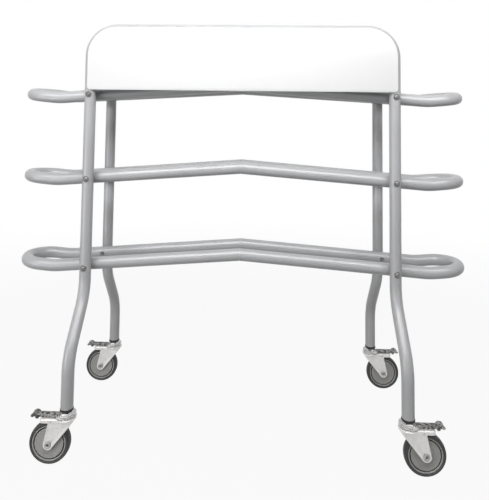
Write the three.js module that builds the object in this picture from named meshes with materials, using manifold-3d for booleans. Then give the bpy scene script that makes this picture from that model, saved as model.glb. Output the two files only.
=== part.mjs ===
// Ball cart: a wheeled rack with three sloping tube shelves between four bent posts,
// an arch with a blank sign panel, and four total-lock swivel casters.
// Millimetres. +X to the right, +Y away from the front, +Z up.
// The origin is on the floor under the middle of the cart.
import * as THREE from "three";
import { mergeVertices } from "three/addons/utils/BufferGeometryUtils.js";
import Module from "manifold-3d";

const wasm = await Module();
wasm.setup();

// Fits and allowances
const seatGap = 0.3; // between two faces that rest on each other
const runGap = 0.3; // round a shaft that turns in its hole
const overrun = 2; // how far a cutter passes the face it cuts
const weldDistance = 0.001; // vertices closer than this are one vertex

// Shelves: hairpin halves of steel tube
const railRadius = 20.65;
const railWall = 2;
const railGauge = 150; // between front and rear rail centres
const shelfReach = 790; // middle of the cart to the outside of a loop
const shelfFall = THREE.MathUtils.degToRad(4.4); // slope of each half
const seamGap = 0.6; // between the two halves of a shelf
const sleeveReach = 60; // inner sleeve to each side of the seam
const sleeveWall = 3;
const lowerTier = 596; // rail axis at the middle of the cart, above the floor
const middleTier = 893;
const upperTier = 1181;
const tierHeights = { lower: lowerTier, middle: middleTier, upper: upperTier };

// Posts and arch: steel tube
const postRadius = 19.05;
const postWall = 2;
const postSpacing = 1042; // between left and right post centres
const archRise = 205; // top of the arch above the upper shelf
const archCornerRadius = 91; // bend of the tube's centre line
const archSeamDrop = 71; // joint of post and arch below the upper shelf
const swageLength = 60; // narrowed arch end inside the post
const swageWall = 1.8;
const neckLength = 9; // where the narrowed end meets the full tube
const rearPostRise = 35; // rear post above the upper shelf's rail

// Legs: the S-bend
const legSplay = 121; // how far a foot stands outside its post line
const legBendAngle = THREE.MathUtils.degToRad(37);
const legBendRadius = 145;
const legBendDrop = 204; // middle of the S-bend below the lower shelf

// Shelf bolts
const boltRadius = 4;
const boltHeadRadius = 8;
const boltHeadHeight = 5;
const washerRadius = 10.5;
const washerThickness = 1.5;
const nutRadius = 7.5;
const nutThickness = 7;

// Sign panel and rear post caps
const signInset = 14; // panel edge inside the arch's outer edge
const signHeight = 212;
const signThickness = 3;
const signFootRadius = 12;
const capThickness = 3;
const capPlugLength = 20;
const capCrownShare = 0.6; // flat top of a cap, as a share of its radius

// Caster: wheel
const wheelRadius = 62.5;
const treadHalfWidth = 15;
const tyreInnerRadius = 52.5;
const tyreShoulder = 5; // height and width that the tread's edge is rounded off
const tyreLipStep = 3; // tyre's inner lip inside the tread's width
const hubHalfLength = 17.2;
const hubBossRadius = 13;
const hubWebHalfWidth = 10;
const hubRimWidth = 7.7;
const axleRadius = 6;
const axleHeadRadius = 10;
const axleHeadHeight = 5;

// Caster: fork
const swivelTrail = 48; // swivel axis to axle
const forkSheet = 3;
const crownClearance = 13; // top of the crown above the wheel
const forkCrownRadius = 30;
const forkCrownReach = 77; // crown's front end from the swivel axis
const forkSkirtDepth = 11.5; // turned-down edge of the crown
const forkEyeRadius = 14.5; // rounded end round the axle
const forkFrontSetback = 1; // cheek's front edge from the axle at the top

// Caster: stem and insert
const kingpinRadius = 9;
const kingpinHeadRadius = 13;
const kingpinHeadHeight = 7;
const discRadius = 28; // swivel disc on the crown
const discThickness = 3;
const bossRadius = 19;
const bossHeight = 12.8;
const stemRadius = 6;
const stemLength = 38; // stem inside the insert
const collarRadius = 20.5;
const collarHeight = 8;
const plugLength = 45;

// Caster: brake pedal
const pedalSheet = 2.5;
const pedalPress = THREE.MathUtils.degToRad(7); // pressed down from level
const pedalHalfWidth = 10;
const pedalBandRadius = 30.5;
const pedalDepth = 5.5; // height of the arm's sides and of the band
const pedalRise = 10.5; // top of the level pedal above the crown
const pedalReach = 82.5; // flat arm's front end
const pedalPinPlace = 41; // hinge pin from the swivel axis
const pedalPinDrop = 7.5; // hinge pin below the top of the crown
const pedalPinRadius = 2.5;
const pedalPinOverhang = 1.5;
const pedalEarHalfWidth = 6;
const pedalEarRadius = 3.5;
const pedalSlotSide = 2.5; // room in front of and behind an ear
const pedalCurlRadius = 13;
const pedalCurlRise = 3.5; // curl's centre above the arm's underside
const pedalCurlStart = THREE.MathUtils.degToRad(205);
const pedalCurlEnd = THREE.MathUtils.degToRad(15);

// Facets
const outerSides = 12;
const boreSides = 8;
const smallSides = 8;
const boltSides = 6;
const wheelSides = 20;
const hubSides = 12;
const stemSides = 8;
const bossSides = 6;
const discSides = 12;
const loopSteps = 8;
const legBendSteps = 3;
const archBendSteps = 6;
const arcSteps = 3;

// Values that follow from the sizes above
const halfSpacing = postSpacing / 2;
const postLine = railGauge / 2 + railRadius + seatGap + postRadius;
const footLine = postLine + legSplay;
const postBoreRadius = postRadius - postWall;
const legBendHeight = lowerTier - legBendDrop;
const archTop = upperTier + archRise;
const archSeamHeight = upperTier - archSeamDrop;
const signBottom = archTop - signInset - signHeight;
const forkCrownHeight = 2 * wheelRadius + crownClearance;
const crownUnderside = forkCrownHeight - forkSheet;
const discTop = forkCrownHeight + seatGap + discThickness;
const bossTop = discTop + bossHeight;
const legFootHeight = bossTop + collarHeight + 2 * seatGap; // lower end of the leg tube
const forkInside = hubHalfLength + seatGap;
const forkOutside = forkInside + forkSheet;
const pedalTop = forkCrownHeight + pedalRise;
const pedalFoot = pedalTop - pedalDepth;
const pedalPinHeight = forkCrownHeight - pedalPinDrop;
const pedalArmStart = Math.sqrt(pedalBandRadius ** 2 - pedalHalfWidth ** 2) - pedalSheet;

const X = new THREE.Vector3(1, 0, 0);
const Y = new THREE.Vector3(0, 1, 0);
const Z = new THREE.Vector3(0, 0, 1);

const finishes = {
  powderCoat: { color: 0xa9acb0, roughness: 0.35, metalness: 0.3 },
  whiteSheet: { color: 0xf4f4f4, roughness: 0.4, metalness: 0 },
  zinc: { color: 0xc4c6c4, roughness: 0.35, metalness: 0.9 },
  chrome: { color: 0xdadcde, roughness: 0.12, metalness: 1 },
  blackPlastic: { color: 0x1c1c1e, roughness: 0.6, metalness: 0 },
  greyPlastic: { color: 0x7c7d7b, roughness: 0.55, metalness: 0 },
  tread: { color: 0x3a3a3c, roughness: 0.7, metalness: 0 },
};

// Radius of a faceted hole that a round shaft clears, and of a shaft that a faceted bore clears.
const holeFor = (radius, gap, sides) => (radius + gap) / Math.cos(Math.PI / sides);
const plugFor = (radius, gap, sides) => radius * Math.cos(Math.PI / sides) - gap;

// A closed geometry as a solid that can be cut and joined, facing out.
function solid(geometry) {
  const bare = geometry.clone();
  bare.deleteAttribute("normal");
  bare.deleteAttribute("uv");
  const merged = mergeVertices(bare, weldDistance);
  const corners = [];
  const index = merged.index.array;
  for (let i = 0; i < index.length; i += 3) {
    const [a, b, c] = index.slice(i, i + 3);
    if (a !== b && b !== c && c !== a) corners.push(a, b, c);
  }
  const build = (triangles) =>
    new wasm.Manifold(
      new wasm.Mesh({
        numProp: 3,
        vertProperties: merged.attributes.position.array,
        triVerts: new Uint32Array(triangles),
      }),
    );
  const made = build(corners);
  return made.volume() < 0 ? build(corners.reverse()) : made;
}

function geometryOf(made) {
  const { vertProperties, triVerts } = made.getMesh();
  const geometry = new THREE.BufferGeometry();
  geometry.setAttribute("position", new THREE.BufferAttribute(vertProperties, 3));
  geometry.setIndex(new THREE.BufferAttribute(triVerts, 1));
  return geometry;
}

function piece(name, made, finish) {
  const flat = geometryOf(made).toNonIndexed();
  flat.computeVertexNormals();
  const mesh = new THREE.Mesh(flat, new THREE.MeshStandardMaterial(finishes[finish]));
  mesh.name = name;
  return mesh;
}

// A path drawn like a bender's job sheet: straight lengths and bends in one plane.
class TubePen {
  constructor(start, heading, planeNormal) {
    this.stations = [{ point: start.clone(), heading: heading.clone() }];
    this.normal = planeNormal;
  }

  get last() {
    return this.stations[this.stations.length - 1];
  }

  forward(length) {
    const { point, heading } = this.last;
    this.stations.push({
      point: point.clone().addScaledVector(heading, length),
      heading: heading.clone(),
    });
    return this;
  }

  bend(radius, angle, steps) {
    const { point, heading } = this.last;
    const towards = this.normal.clone().cross(heading).multiplyScalar(Math.sign(angle));
    const centre = point.clone().addScaledVector(towards, radius);
    for (let i = 1; i <= steps; i++) {
      const turn = (Math.abs(angle) * i) / steps;
      this.stations.push({
        point: centre
          .clone()
          .addScaledVector(towards, -radius * Math.cos(turn))
          .addScaledVector(heading, radius * Math.sin(turn)),
        heading: heading
          .clone()
          .multiplyScalar(Math.cos(turn))
          .addScaledVector(towards, Math.sin(turn)),
      });
    }
    return this;
  }
}

// The pen's stations as a curve: each one is a ring of the swept tube.
class StationPath extends THREE.Curve {
  constructor(stations) {
    super();
    this.stations = stations;
  }

  station(t) {
    return this.stations[Math.round(t * (this.stations.length - 1))];
  }

  getPoint(t, target = new THREE.Vector3()) {
    return target.copy(this.station(t).point);
  }

  getTangent(t, target = new THREE.Vector3()) {
    return target.copy(this.station(t).heading);
  }

  getUtoTmapping(u) {
    return u;
  }
}

function ring(radius, sides) {
  return Array.from({ length: sides }, (_, i) => {
    const angle = ((i + 0.5) * 2 * Math.PI) / sides;
    return new THREE.Vector2(radius * Math.cos(angle), radius * Math.sin(angle));
  });
}

function sweptTube(stations, radius, wall, sides = outerSides) {
  const section = new THREE.Shape(ring(radius, sides));
  section.holes.push(new THREE.Path(ring(radius - wall, boreSides)));
  return solid(
    new THREE.ExtrudeGeometry(section, {
      steps: stations.length - 1,
      bevelEnabled: false,
      extrudePath: new StationPath(stations),
    }),
  );
}

// A turned piece. The profile is [radius, place along +Z] pairs, from axis to axis
// or closed on itself.
function turned(profile, sides) {
  const points = profile.map(([radius, along]) => new THREE.Vector2(radius, along));
  return solid(new THREE.LatheGeometry(points, sides).rotateX(Math.PI / 2));
}

// The same, with its flats on the named radius, so that it rolls or stands on a flat.
function turnedOnFlats(profile, sides) {
  const grow = 1 / Math.cos(Math.PI / sides);
  const wide = profile.map(([radius, along]) => [radius * grow, along]);
  return turned(wide, sides);
}

function rod(radius, from, to, sides) {
  return turned([[0, from], [radius, from], [radius, to], [0, to]], sides);
}

// Solids that were made along Z, laid along Y.
const alongY = (made) => made.rotate([-90, 0, 0]);

// A plate cut from sheet: the outline is drawn in X and Y, and the plate rises from z = 0.
function plate(outline, thickness) {
  return solid(
    new THREE.ExtrudeGeometry(outline, {
      depth: thickness,
      bevelEnabled: false,
      curveSegments: arcSteps,
    }),
  );
}

// A plate drawn in X and Z that runs from y to y + thickness.
function uprightPlate(outline, thickness, y) {
  return plate(outline, thickness)
    .rotate([90, 0, 0])
    .translate([0, y + thickness, 0]);
}

function polygonOf(corners) {
  return new THREE.Shape(corners.map(([x, y]) => new THREE.Vector2(x, y)));
}

const railHeightAt = (tierHeight, x) => tierHeight - Math.abs(x) * Math.tan(shelfFall);

// Axis from outside the post to inside the rail: side is -1 on the left, depth -1 in front.
function boltPlace(side, depth, tierHeight) {
  return [
    side * halfSpacing,
    depth * (postLine + postRadius + seatGap),
    railHeightAt(tierHeight, halfSpacing),
  ];
}

const boltGrip = 2 * postRadius + 2 * railRadius + 3 * seatGap;

function boltHole(side, depth, tierHeight) {
  const [x, y, z] = boltPlace(side, depth, tierHeight);
  const radius = holeFor(boltRadius, seatGap, boltSides);
  const cutter = alongY(rod(radius, -overrun, boltGrip + overrun, boltSides));
  return cutter.rotate([0, 0, depth < 0 ? 0 : 180]).translate([x, y, z]);
}

function shelfBolt(side, depth, tierHeight) {
  const head = washerThickness + boltHeadHeight;
  const profile = [
    [0, -head],
    [boltHeadRadius / 2, -head],
    [boltHeadRadius, -washerThickness],
    [washerRadius, -washerThickness],
    [washerRadius, 0],
    [boltRadius, 0],
    [boltRadius, boltGrip],
    [nutRadius, boltGrip],
    [nutRadius, boltGrip + nutThickness],
    [0, boltGrip + nutThickness],
  ];
  return alongY(turned(profile, boltSides))
    .rotate([0, 0, depth < 0 ? 0 : 180])
    .translate(boltPlace(side, depth, tierHeight));
}

// The straight length between a leg's two bends, and the height of the whole S-bend.
function slantedLeg() {
  const slant = legSplay - 2 * legBendRadius * (1 - Math.cos(legBendAngle));
  const length = slant / Math.sin(legBendAngle);
  const height = 2 * legBendRadius * Math.sin(legBendAngle) + length * Math.cos(legBendAngle);
  return { length, height };
}

function post(side, depth, top) {
  const slanted = slantedLeg();
  const bendTop = legBendHeight + slanted.height / 2;
  const bendFoot = legBendHeight - slanted.height / 2;
  const start = new THREE.Vector3(side * halfSpacing, depth * postLine, top);
  const pen = new TubePen(start, Z.clone().negate(), X)
    .forward(top - bendTop)
    .bend(legBendRadius, depth * legBendAngle, legBendSteps)
    .forward(slanted.length)
    .bend(legBendRadius, depth * -legBendAngle, legBendSteps)
    .forward(bendFoot - legFootHeight);
  return sweptTube(pen.stations, postRadius, postWall);
}

function drilled(made, holes) {
  return holes.reduce((rest, hole) => rest.subtract(hole), made);
}

function posts() {
  const tiers = Object.values(tierHeights);
  const rearTop = railHeightAt(tierHeights.upper, halfSpacing) + rearPostRise;
  const made = [];
  for (const [sideName, side] of [["left", -1], ["right", 1]]) {
    const front = post(side, -1, archSeamHeight);
    const lowTiers = tiers.filter((height) => railHeightAt(height, halfSpacing) < archSeamHeight);
    const frontHoles = lowTiers.map((height) => boltHole(side, -1, height));
    made.push(piece(`front_post_${sideName}`, drilled(front, frontHoles), "powderCoat"));
    const rearHoles = tiers.map((height) => boltHole(side, 1, height));
    made.push(piece(`rear_post_${sideName}`, drilled(post(side, 1, rearTop), rearHoles), "powderCoat"));
    made.push(piece(`rear_post_cap_${sideName}`, rearCap(side, rearTop), "blackPlastic"));
  }
  return made;
}

function rearCap(side, top) {
  const plug = plugFor(postBoreRadius, seatGap, boreSides);
  const seat = seatGap;
  const profile = [
    [0, -capPlugLength],
    [plug, -capPlugLength],
    [plug, seat],
    [postRadius, seat],
    [postRadius, seat + capThickness / 2],
    [postRadius * capCrownShare, seat + capThickness],
    [0, seat + capThickness],
  ];
  return turned(profile, stemSides).translate([side * halfSpacing, postLine, top]);
}

// Narrowed tube end below the arch, joined inside the arch's wall.
function swagedEnd(side) {
  const outer = plugFor(postBoreRadius, seatGap, boreSides);
  const inner = outer - swageWall;
  const joint = postRadius - postWall / 2;
  const shoulder = seatGap + overrun;
  const profile = [
    [inner, -swageLength],
    [outer, -swageLength],
    [outer, shoulder],
    [joint, shoulder],
    [joint, neckLength],
    [inner, neckLength],
    [inner, -swageLength],
  ];
  return turned(profile, stemSides).translate([side * halfSpacing, -postLine, archSeamHeight]);
}

function headerArch() {
  const start = new THREE.Vector3(-halfSpacing, -postLine, archSeamHeight + seatGap);
  const rise = archTop - postRadius - archCornerRadius - start.z;
  const quarter = Math.PI / 2;
  const pen = new TubePen(start, Z, Y)
    .forward(rise)
    .bend(archCornerRadius, quarter, archBendSteps)
    .forward(postSpacing - 2 * archCornerRadius)
    .bend(archCornerRadius, quarter, archBendSteps)
    .forward(rise);
  const arch = [-1, 1].reduce(
    (made, side) => made.add(swagedEnd(side)),
    sweptTube(pen.stations, postRadius, postWall),
  );
  const holes = [-1, 1].map((side) => boltHole(side, -1, tierHeights.upper));
  return piece("header_arch", drilled(arch, holes), "powderCoat");
}

function signPanel() {
  const half = halfSpacing + postRadius - signInset;
  const top = archTop - signInset;
  const shoulder = archCornerRadius + postRadius - signInset;
  const foot = signFootRadius;
  const outline = new THREE.Shape();
  outline.moveTo(-half + foot, signBottom);
  outline.lineTo(half - foot, signBottom);
  outline.absarc(half - foot, signBottom + foot, foot, -Math.PI / 2, 0);
  outline.lineTo(half, top - shoulder);
  outline.absarc(half - shoulder, top - shoulder, shoulder, 0, Math.PI / 2);
  outline.lineTo(-half + shoulder, top);
  outline.absarc(-half + shoulder, top - shoulder, shoulder, Math.PI / 2, Math.PI);
  outline.lineTo(-half, signBottom + foot);
  outline.absarc(-half + foot, signBottom + foot, foot, Math.PI, Math.PI * 1.5);
  const back = -postLine - postRadius - seatGap;
  const panel = uprightPlate(outline, signThickness, back - signThickness);
  return piece("sign_panel", panel, "whiteSheet");
}

// One hairpin: out along the front rail, round the loop and back along the rear rail.
function shelfHalf(side, tierHeight) {
  const out = new THREE.Vector3(side * Math.cos(shelfFall), 0, -Math.sin(shelfFall));
  const loopRadius = railGauge / 2;
  const straight = (shelfReach - railRadius) / Math.cos(shelfFall) - loopRadius;
  const seam = seamGap / 2;
  const start = new THREE.Vector3(side * seam, -loopRadius, tierHeight - seam * Math.tan(shelfFall));
  const pen = new TubePen(start, out, out.clone().cross(Y))
    .forward(straight)
    .bend(loopRadius, Math.PI, loopSteps)
    .forward(straight);
  pen.stations[0].heading.set(side, 0, 0);
  pen.last.heading.set(-side, 0, 0);
  const loop = sweptTube(pen.stations, railRadius, railWall);
  return drilled(loop, [-1, 1].map((depth) => boltHole(side, depth, tierHeight)));
}

// Sleeve inside the two rail ends, bent at the seam, its flats against the bore's flats.
function railSleeve(depth, tierHeight) {
  const radius = railRadius - railWall - seatGap / Math.cos(Math.PI / boreSides);
  const at = (side) =>
    new THREE.Vector3(
      side * sleeveReach,
      (depth * railGauge) / 2,
      railHeightAt(tierHeight, sleeveReach),
    );
  const middle = new THREE.Vector3(0, (depth * railGauge) / 2, tierHeight);
  const stations = [
    { point: at(-1), heading: middle.clone().sub(at(-1)).normalize() },
    { point: middle, heading: X.clone() },
    { point: at(1), heading: at(1).sub(middle).normalize() },
  ];
  return sweptTube(stations, radius, sleeveWall, boreSides);
}

function shelves() {
  const made = [];
  for (const [tier, height] of Object.entries(tierHeights)) {
    made.push(piece(`${tier}_shelf_left`, shelfHalf(-1, height), "powderCoat"));
    made.push(piece(`${tier}_shelf_right`, shelfHalf(1, height), "powderCoat"));
    for (const [depthName, depth] of [["front", -1], ["rear", 1]]) {
      made.push(piece(`${tier}_sleeve_${depthName}`, railSleeve(depth, height), "zinc"));
      for (const [sideName, side] of [["left", -1], ["right", 1]]) {
        const bolt = shelfBolt(side, depth, height);
        made.push(piece(`${tier}_bolt_${depthName}_${sideName}`, bolt, "zinc"));
      }
    }
  }
  return made;
}

// The caster is drawn with its swivel axis at the origin, trailing along +X, on the floor.
// The pedal is drawn level and then turned about its pin to where it is pressed.
function socketInsert() {
  const bore = holeFor(stemRadius, seatGap, stemSides);
  const plug = plugFor(postBoreRadius, seatGap, boreSides);
  const seat = legFootHeight - seatGap;
  const profile = [
    [bore, seat - collarHeight],
    [collarRadius, seat - collarHeight],
    [collarRadius, seat],
    [plug, seat],
    [plug, seat + plugLength],
    [bore, seat + plugLength],
    [bore, seat - collarHeight],
  ];
  return turned(profile, stemSides);
}

function casterStem() {
  const discFoot = forkCrownHeight + seatGap;
  const headTop = crownUnderside - seatGap;
  const shaft = [
    [0, headTop - kingpinHeadHeight],
    [kingpinHeadRadius, headTop - kingpinHeadHeight],
    [kingpinHeadRadius, headTop],
    [kingpinRadius, headTop],
    [kingpinRadius, bossTop - overrun],
    [stemRadius, bossTop - overrun],
    [stemRadius, bossTop + stemLength],
    [0, bossTop + stemLength],
  ];
  return turned(shaft, stemSides)
    .add(rod(discRadius, discFoot, discTop, discSides))
    .add(rod(bossRadius, discFoot, bossTop, bossSides));
}

// Where a line from a point touches a circle: side 1 is to the left of the line of sight.
function tangentAngle(point, centre, radius, side) {
  const away = new THREE.Vector2().subVectors(point, centre);
  return away.angle() + side * Math.acos(radius / away.length());
}

function roundHole(x, y, radius, sides) {
  return new THREE.Path(ring(radius, sides).map((p) => new THREE.Vector2(p.x + x, p.y + y)));
}

function forkCheek() {
  const axle = new THREE.Vector2(swivelTrail, wheelRadius);
  const rearTop = new THREE.Vector2(-forkCrownRadius, forkCrownHeight);
  const skirtFoot = forkCrownHeight - forkSkirtDepth;
  const frontTop = new THREE.Vector2(swivelTrail + forkFrontSetback, skirtFoot);
  const rearTouch = tangentAngle(rearTop, axle, forkEyeRadius, 1);
  const frontTouch = tangentAngle(frontTop, axle, forkEyeRadius, -1);
  const outline = new THREE.Shape();
  outline.moveTo(forkCrownReach, forkCrownHeight);
  outline.lineTo(rearTop.x, rearTop.y);
  outline.absarc(axle.x, axle.y, forkEyeRadius, rearTouch, frontTouch);
  outline.lineTo(frontTop.x, frontTop.y);
  outline.lineTo(forkCrownReach, skirtFoot);
  outline.closePath();
  outline.holes.push(
    roundHole(axle.x, axle.y, holeFor(axleRadius, seatGap, smallSides), smallSides),
    roundHole(
      pedalPinPlace,
      pedalPinHeight,
      holeFor(pedalPinRadius, runGap, smallSides),
      smallSides,
    ),
  );
  return outline;
}

function forkCrown() {
  const width = forkOutside;
  const meet = Math.asin(width / forkCrownRadius);
  const outline = new THREE.Shape();
  outline.moveTo(forkCrownReach, -width);
  outline.lineTo(forkCrownReach, width);
  outline.absarc(0, 0, forkCrownRadius, meet, 2 * Math.PI - meet);
  outline.closePath();
  outline.holes.push(roundHole(0, 0, holeFor(kingpinRadius, runGap, stemSides), stemSides));
  const reach = pedalEarHalfWidth + pedalSlotSide;
  const inner = pedalHalfWidth - pedalSheet - runGap;
  const outer = pedalHalfWidth + runGap;
  for (const side of [-1, 1])
    outline.holes.push(
      new THREE.Path(
        [
          [pedalPinPlace - reach, side * inner],
          [pedalPinPlace + reach, side * inner],
          [pedalPinPlace + reach, side * outer],
          [pedalPinPlace - reach, side * outer],
        ].map(([x, y]) => new THREE.Vector2(x, y)),
      ),
    );
  return outline;
}

function fork() {
  const cheek = forkCheek();
  const near = uprightPlate(cheek, forkSheet, -forkOutside);
  const far = uprightPlate(cheek, forkSheet, forkInside);
  const crown = plate(forkCrown(), forkSheet).translate([0, 0, crownUnderside]);
  const lipOutline = polygonOf([
    [forkCrownReach - forkSheet, forkCrownHeight - forkSkirtDepth],
    [forkCrownReach, forkCrownHeight - forkSkirtDepth],
    [forkCrownReach, forkCrownHeight],
    [forkCrownReach - forkSheet, forkCrownHeight],
  ]);
  const lip = uprightPlate(lipOutline, 2 * forkOutside, -forkOutside);
  return near.add(far).add(crown).add(lip);
}

// Side of the pedal's arm, with the ear that the hinge pin passes.
function pedalSideOutline() {
  const ear = pedalEarHalfWidth;
  return polygonOf([
    [pedalArmStart, pedalFoot],
    [pedalPinPlace - ear, pedalFoot],
    [pedalPinPlace - ear / 2, pedalPinHeight - pedalEarRadius],
    [pedalPinPlace + ear / 2, pedalPinHeight - pedalEarRadius],
    [pedalPinPlace + ear, pedalFoot],
    [pedalReach, pedalFoot],
    [pedalReach, pedalTop],
    [pedalArmStart, pedalTop],
  ]);
}

function pedalBand() {
  const meet = Math.asin(pedalHalfWidth / pedalBandRadius);
  const inner = pedalBandRadius - pedalSheet;
  const outline = new THREE.Shape();
  outline.absarc(0, 0, pedalBandRadius, meet, 2 * Math.PI - meet);
  outline.absarc(0, 0, inner, 2 * Math.PI - meet, meet, true);
  return plate(outline, pedalDepth).translate([0, 0, pedalFoot]);
}

function pedalCurl() {
  const centre = new THREE.Vector2(
    pedalReach + pedalCurlRadius - pedalSheet,
    pedalFoot + pedalCurlRise,
  );
  const inner = pedalCurlRadius - pedalSheet;
  const outline = new THREE.Shape();
  outline.absarc(centre.x, centre.y, pedalCurlRadius, pedalCurlStart, pedalCurlEnd, true);
  outline.absarc(centre.x, centre.y, inner, pedalCurlEnd, pedalCurlStart);
  return uprightPlate(outline, 2 * pedalHalfWidth, -pedalHalfWidth);
}

function brakePedal() {
  const side = pedalSideOutline();
  const top = polygonOf([
    [pedalArmStart, pedalTop - pedalSheet],
    [pedalReach, pedalTop - pedalSheet],
    [pedalReach, pedalTop],
    [pedalArmStart, pedalTop],
  ]);
  const pinHalf = forkOutside + pedalPinOverhang;
  const pin = alongY(rod(pedalPinRadius, -pinHalf, pinHalf, smallSides)).translate([
    pedalPinPlace,
    0,
    pedalPinHeight,
  ]);
  const level = uprightPlate(side, pedalSheet, -pedalHalfWidth)
    .add(uprightPlate(side, pedalSheet, pedalHalfWidth - pedalSheet))
    .add(uprightPlate(top, 2 * pedalHalfWidth, -pedalHalfWidth))
    .add(pedalBand())
    .add(pedalCurl())
    .add(pin);
  const press = THREE.MathUtils.radToDeg(pedalPress);
  return level
    .translate([-pedalPinPlace, 0, -pedalPinHeight])
    .rotate([0, press, 0])
    .translate([pedalPinPlace, 0, pedalPinHeight]);
}

function tyre() {
  const lip = treadHalfWidth - tyreLipStep;
  const crown = treadHalfWidth - tyreShoulder;
  const side = wheelRadius - tyreShoulder;
  const profile = [
    [tyreInnerRadius, -lip],
    [side, -treadHalfWidth],
    [wheelRadius, -crown],
    [wheelRadius, crown],
    [side, treadHalfWidth],
    [tyreInnerRadius, lip],
    [tyreInnerRadius, -lip],
  ];
  return alongY(turnedOnFlats(profile, wheelSides).rotate([0, 0, 180 / wheelSides]));
}

function wheelHub() {
  const rim = tyreInnerRadius - seatGap;
  const web = rim - hubRimWidth;
  const lip = treadHalfWidth - tyreLipStep;
  const bore = holeFor(axleRadius, runGap, smallSides);
  const half = [
    [bore, hubHalfLength],
    [hubBossRadius, hubHalfLength],
    [hubBossRadius, hubWebHalfWidth],
    [web, hubWebHalfWidth],
    [web, lip],
    [rim, lip],
  ];
  const mirrored = half.map(([radius, along]) => [radius, -along]);
  return alongY(turned([...mirrored, ...half.reverse(), mirrored[0]], hubSides));
}

function axleBolt() {
  const seat = forkOutside + seatGap;
  const profile = [
    [0, -seat - axleHeadHeight],
    [axleHeadRadius, -seat - axleHeadHeight],
    [axleHeadRadius, -seat],
    [axleRadius, -seat],
    [axleRadius, seat],
    [axleHeadRadius, seat],
    [axleHeadRadius, seat + axleHeadHeight],
    [0, seat + axleHeadHeight],
  ];
  return alongY(turned(profile, smallSides));
}

function caster(place, side, depth) {
  const onAxle = (made) => made.translate([swivelTrail, 0, wheelRadius]);
  const set = (name, made, finish) => {
    const turnedRound = made.rotate([0, 0, side > 0 ? 0 : 180]);
    const there = turnedRound.translate([side * halfSpacing, depth * footLine, 0]);
    return piece(`${name}_${place}`, there, finish);
  };
  return [
    set("socket_insert", socketInsert(), "blackPlastic"),
    set("caster_stem", casterStem(), "chrome"),
    set("caster_fork", fork(), "zinc"),
    set("brake_pedal", brakePedal(), "zinc"),
    set("wheel_tyre", onAxle(tyre()), "tread"),
    set("wheel_hub", onAxle(wheelHub()), "greyPlastic"),
    set("axle_bolt", onAxle(axleBolt()), "zinc"),
  ];
}

const cart = new THREE.Group();
cart.name = "ball_cart";
cart.add(...posts(), headerArch(), signPanel(), ...shelves());
for (const [depthName, depth] of [["front", -1], ["rear", 1]])
  for (const [sideName, side] of [["left", -1], ["right", 1]])
    cart.add(...caster(`${depthName}_${sideName}`, side, depth));

export default cart;
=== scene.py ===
# %% [markdown]
# # Ball cart
# A wheeled rack: three sloping shelves of bent tube between four posts with splayed feet,
# an arch with a bare white sign panel, and four casters that a pedal locks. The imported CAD
# part is the frame that everything here is fitted to: it gives the bodies, the joints and
# the room that each piece may take. This script builds a finer piece for each of its
# nodes, gives it a finish and lets it ride on its body.

# %% Load the frame
import math

import bmesh
import bpy
from mathutils import Matrix, Vector


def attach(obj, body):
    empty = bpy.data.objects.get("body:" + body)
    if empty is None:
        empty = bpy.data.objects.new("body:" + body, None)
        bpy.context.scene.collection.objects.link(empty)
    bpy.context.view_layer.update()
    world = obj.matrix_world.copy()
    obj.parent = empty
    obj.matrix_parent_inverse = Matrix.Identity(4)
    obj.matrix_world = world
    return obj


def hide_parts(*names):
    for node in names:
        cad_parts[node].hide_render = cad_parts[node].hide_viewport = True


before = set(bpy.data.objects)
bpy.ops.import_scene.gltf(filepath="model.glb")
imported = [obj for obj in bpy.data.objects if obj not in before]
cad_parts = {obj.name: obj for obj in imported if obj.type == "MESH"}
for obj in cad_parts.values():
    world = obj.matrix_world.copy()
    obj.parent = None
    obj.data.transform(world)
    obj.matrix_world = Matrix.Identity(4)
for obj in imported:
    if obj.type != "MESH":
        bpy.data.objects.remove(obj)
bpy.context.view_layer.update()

# %% [markdown]
# ## Sizes
# A workshop drawing comes before the first cut. Each size has one name here, in
# millimetres, and pieces that fit each other use the same one. Meshes are drawn in
# millimetres too and are scaled to metres when they are finished.

# %% Sizes in millimetres
METRES = 0.001
SEAT_GAP = 0.3  # between two faces that rest on each other

POST_RADIUS = 19.05
TUBE_WALL = 2
HALF_SPACING = 521
POST_LINE = 115
ARCH_TOP = 1385.3  # a hair inside the faceted CAD tube
ARCH_CORNER = 91
ARCH_SEAM = 1110
LEG_SPLAY = 121
LEG_BEND = math.radians(37)
LEG_BEND_RADIUS = 145
LEG_BEND_HEIGHT = 392
REAR_POST_RISE = 35

RAIL_RADIUS = 20.65
RAIL_LINE = 75
SHELF_REACH = 789.6  # a hair inside the faceted CAD tube
SHELF_FALL = math.radians(4.4)
SHELF_SEAM = 0.3
TIERS = {"lower": 596, "middle": 893, "upper": 1181}
REAR_LIFT = {"lower": 0, "middle": 0, "upper": 10}  # of the rear rail, at the posts

WHEEL_RADIUS = 62.5
TRAIL = 48
CROWN_TOP = 138
DISC_TOP = 141.3
BOSS_TOP = 154.1
LEG_FOOT = 162.7
FOOT_LINE = POST_LINE + LEG_SPLAY

SIDES = {"left": -1, "right": 1}
DEPTHS = {"front": -1, "rear": 1}
PLACES = [(f"{depth}_{side}", SIDES[side], DEPTHS[depth]) for depth in DEPTHS for side in SIDES]


def rail_height(tier, x=HALF_SPACING):
    """Height of a rail's axis, which falls from the middle of the cart to its ends."""
    return TIERS[tier] - abs(x) * math.tan(SHELF_FALL)


print("rail heights at the posts:", [round(rail_height(tier), 1) for tier in TIERS])

# %% [markdown]
# ## Shader maths as Python
# A finish is a chain of small sums: noise, a mask, a mix. Written as nodes they are hard
# to read, so a socket is wrapped in a class whose operators add the Math nodes. Every
# other node comes from one method, which takes its type, its settings and its sockets.


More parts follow.
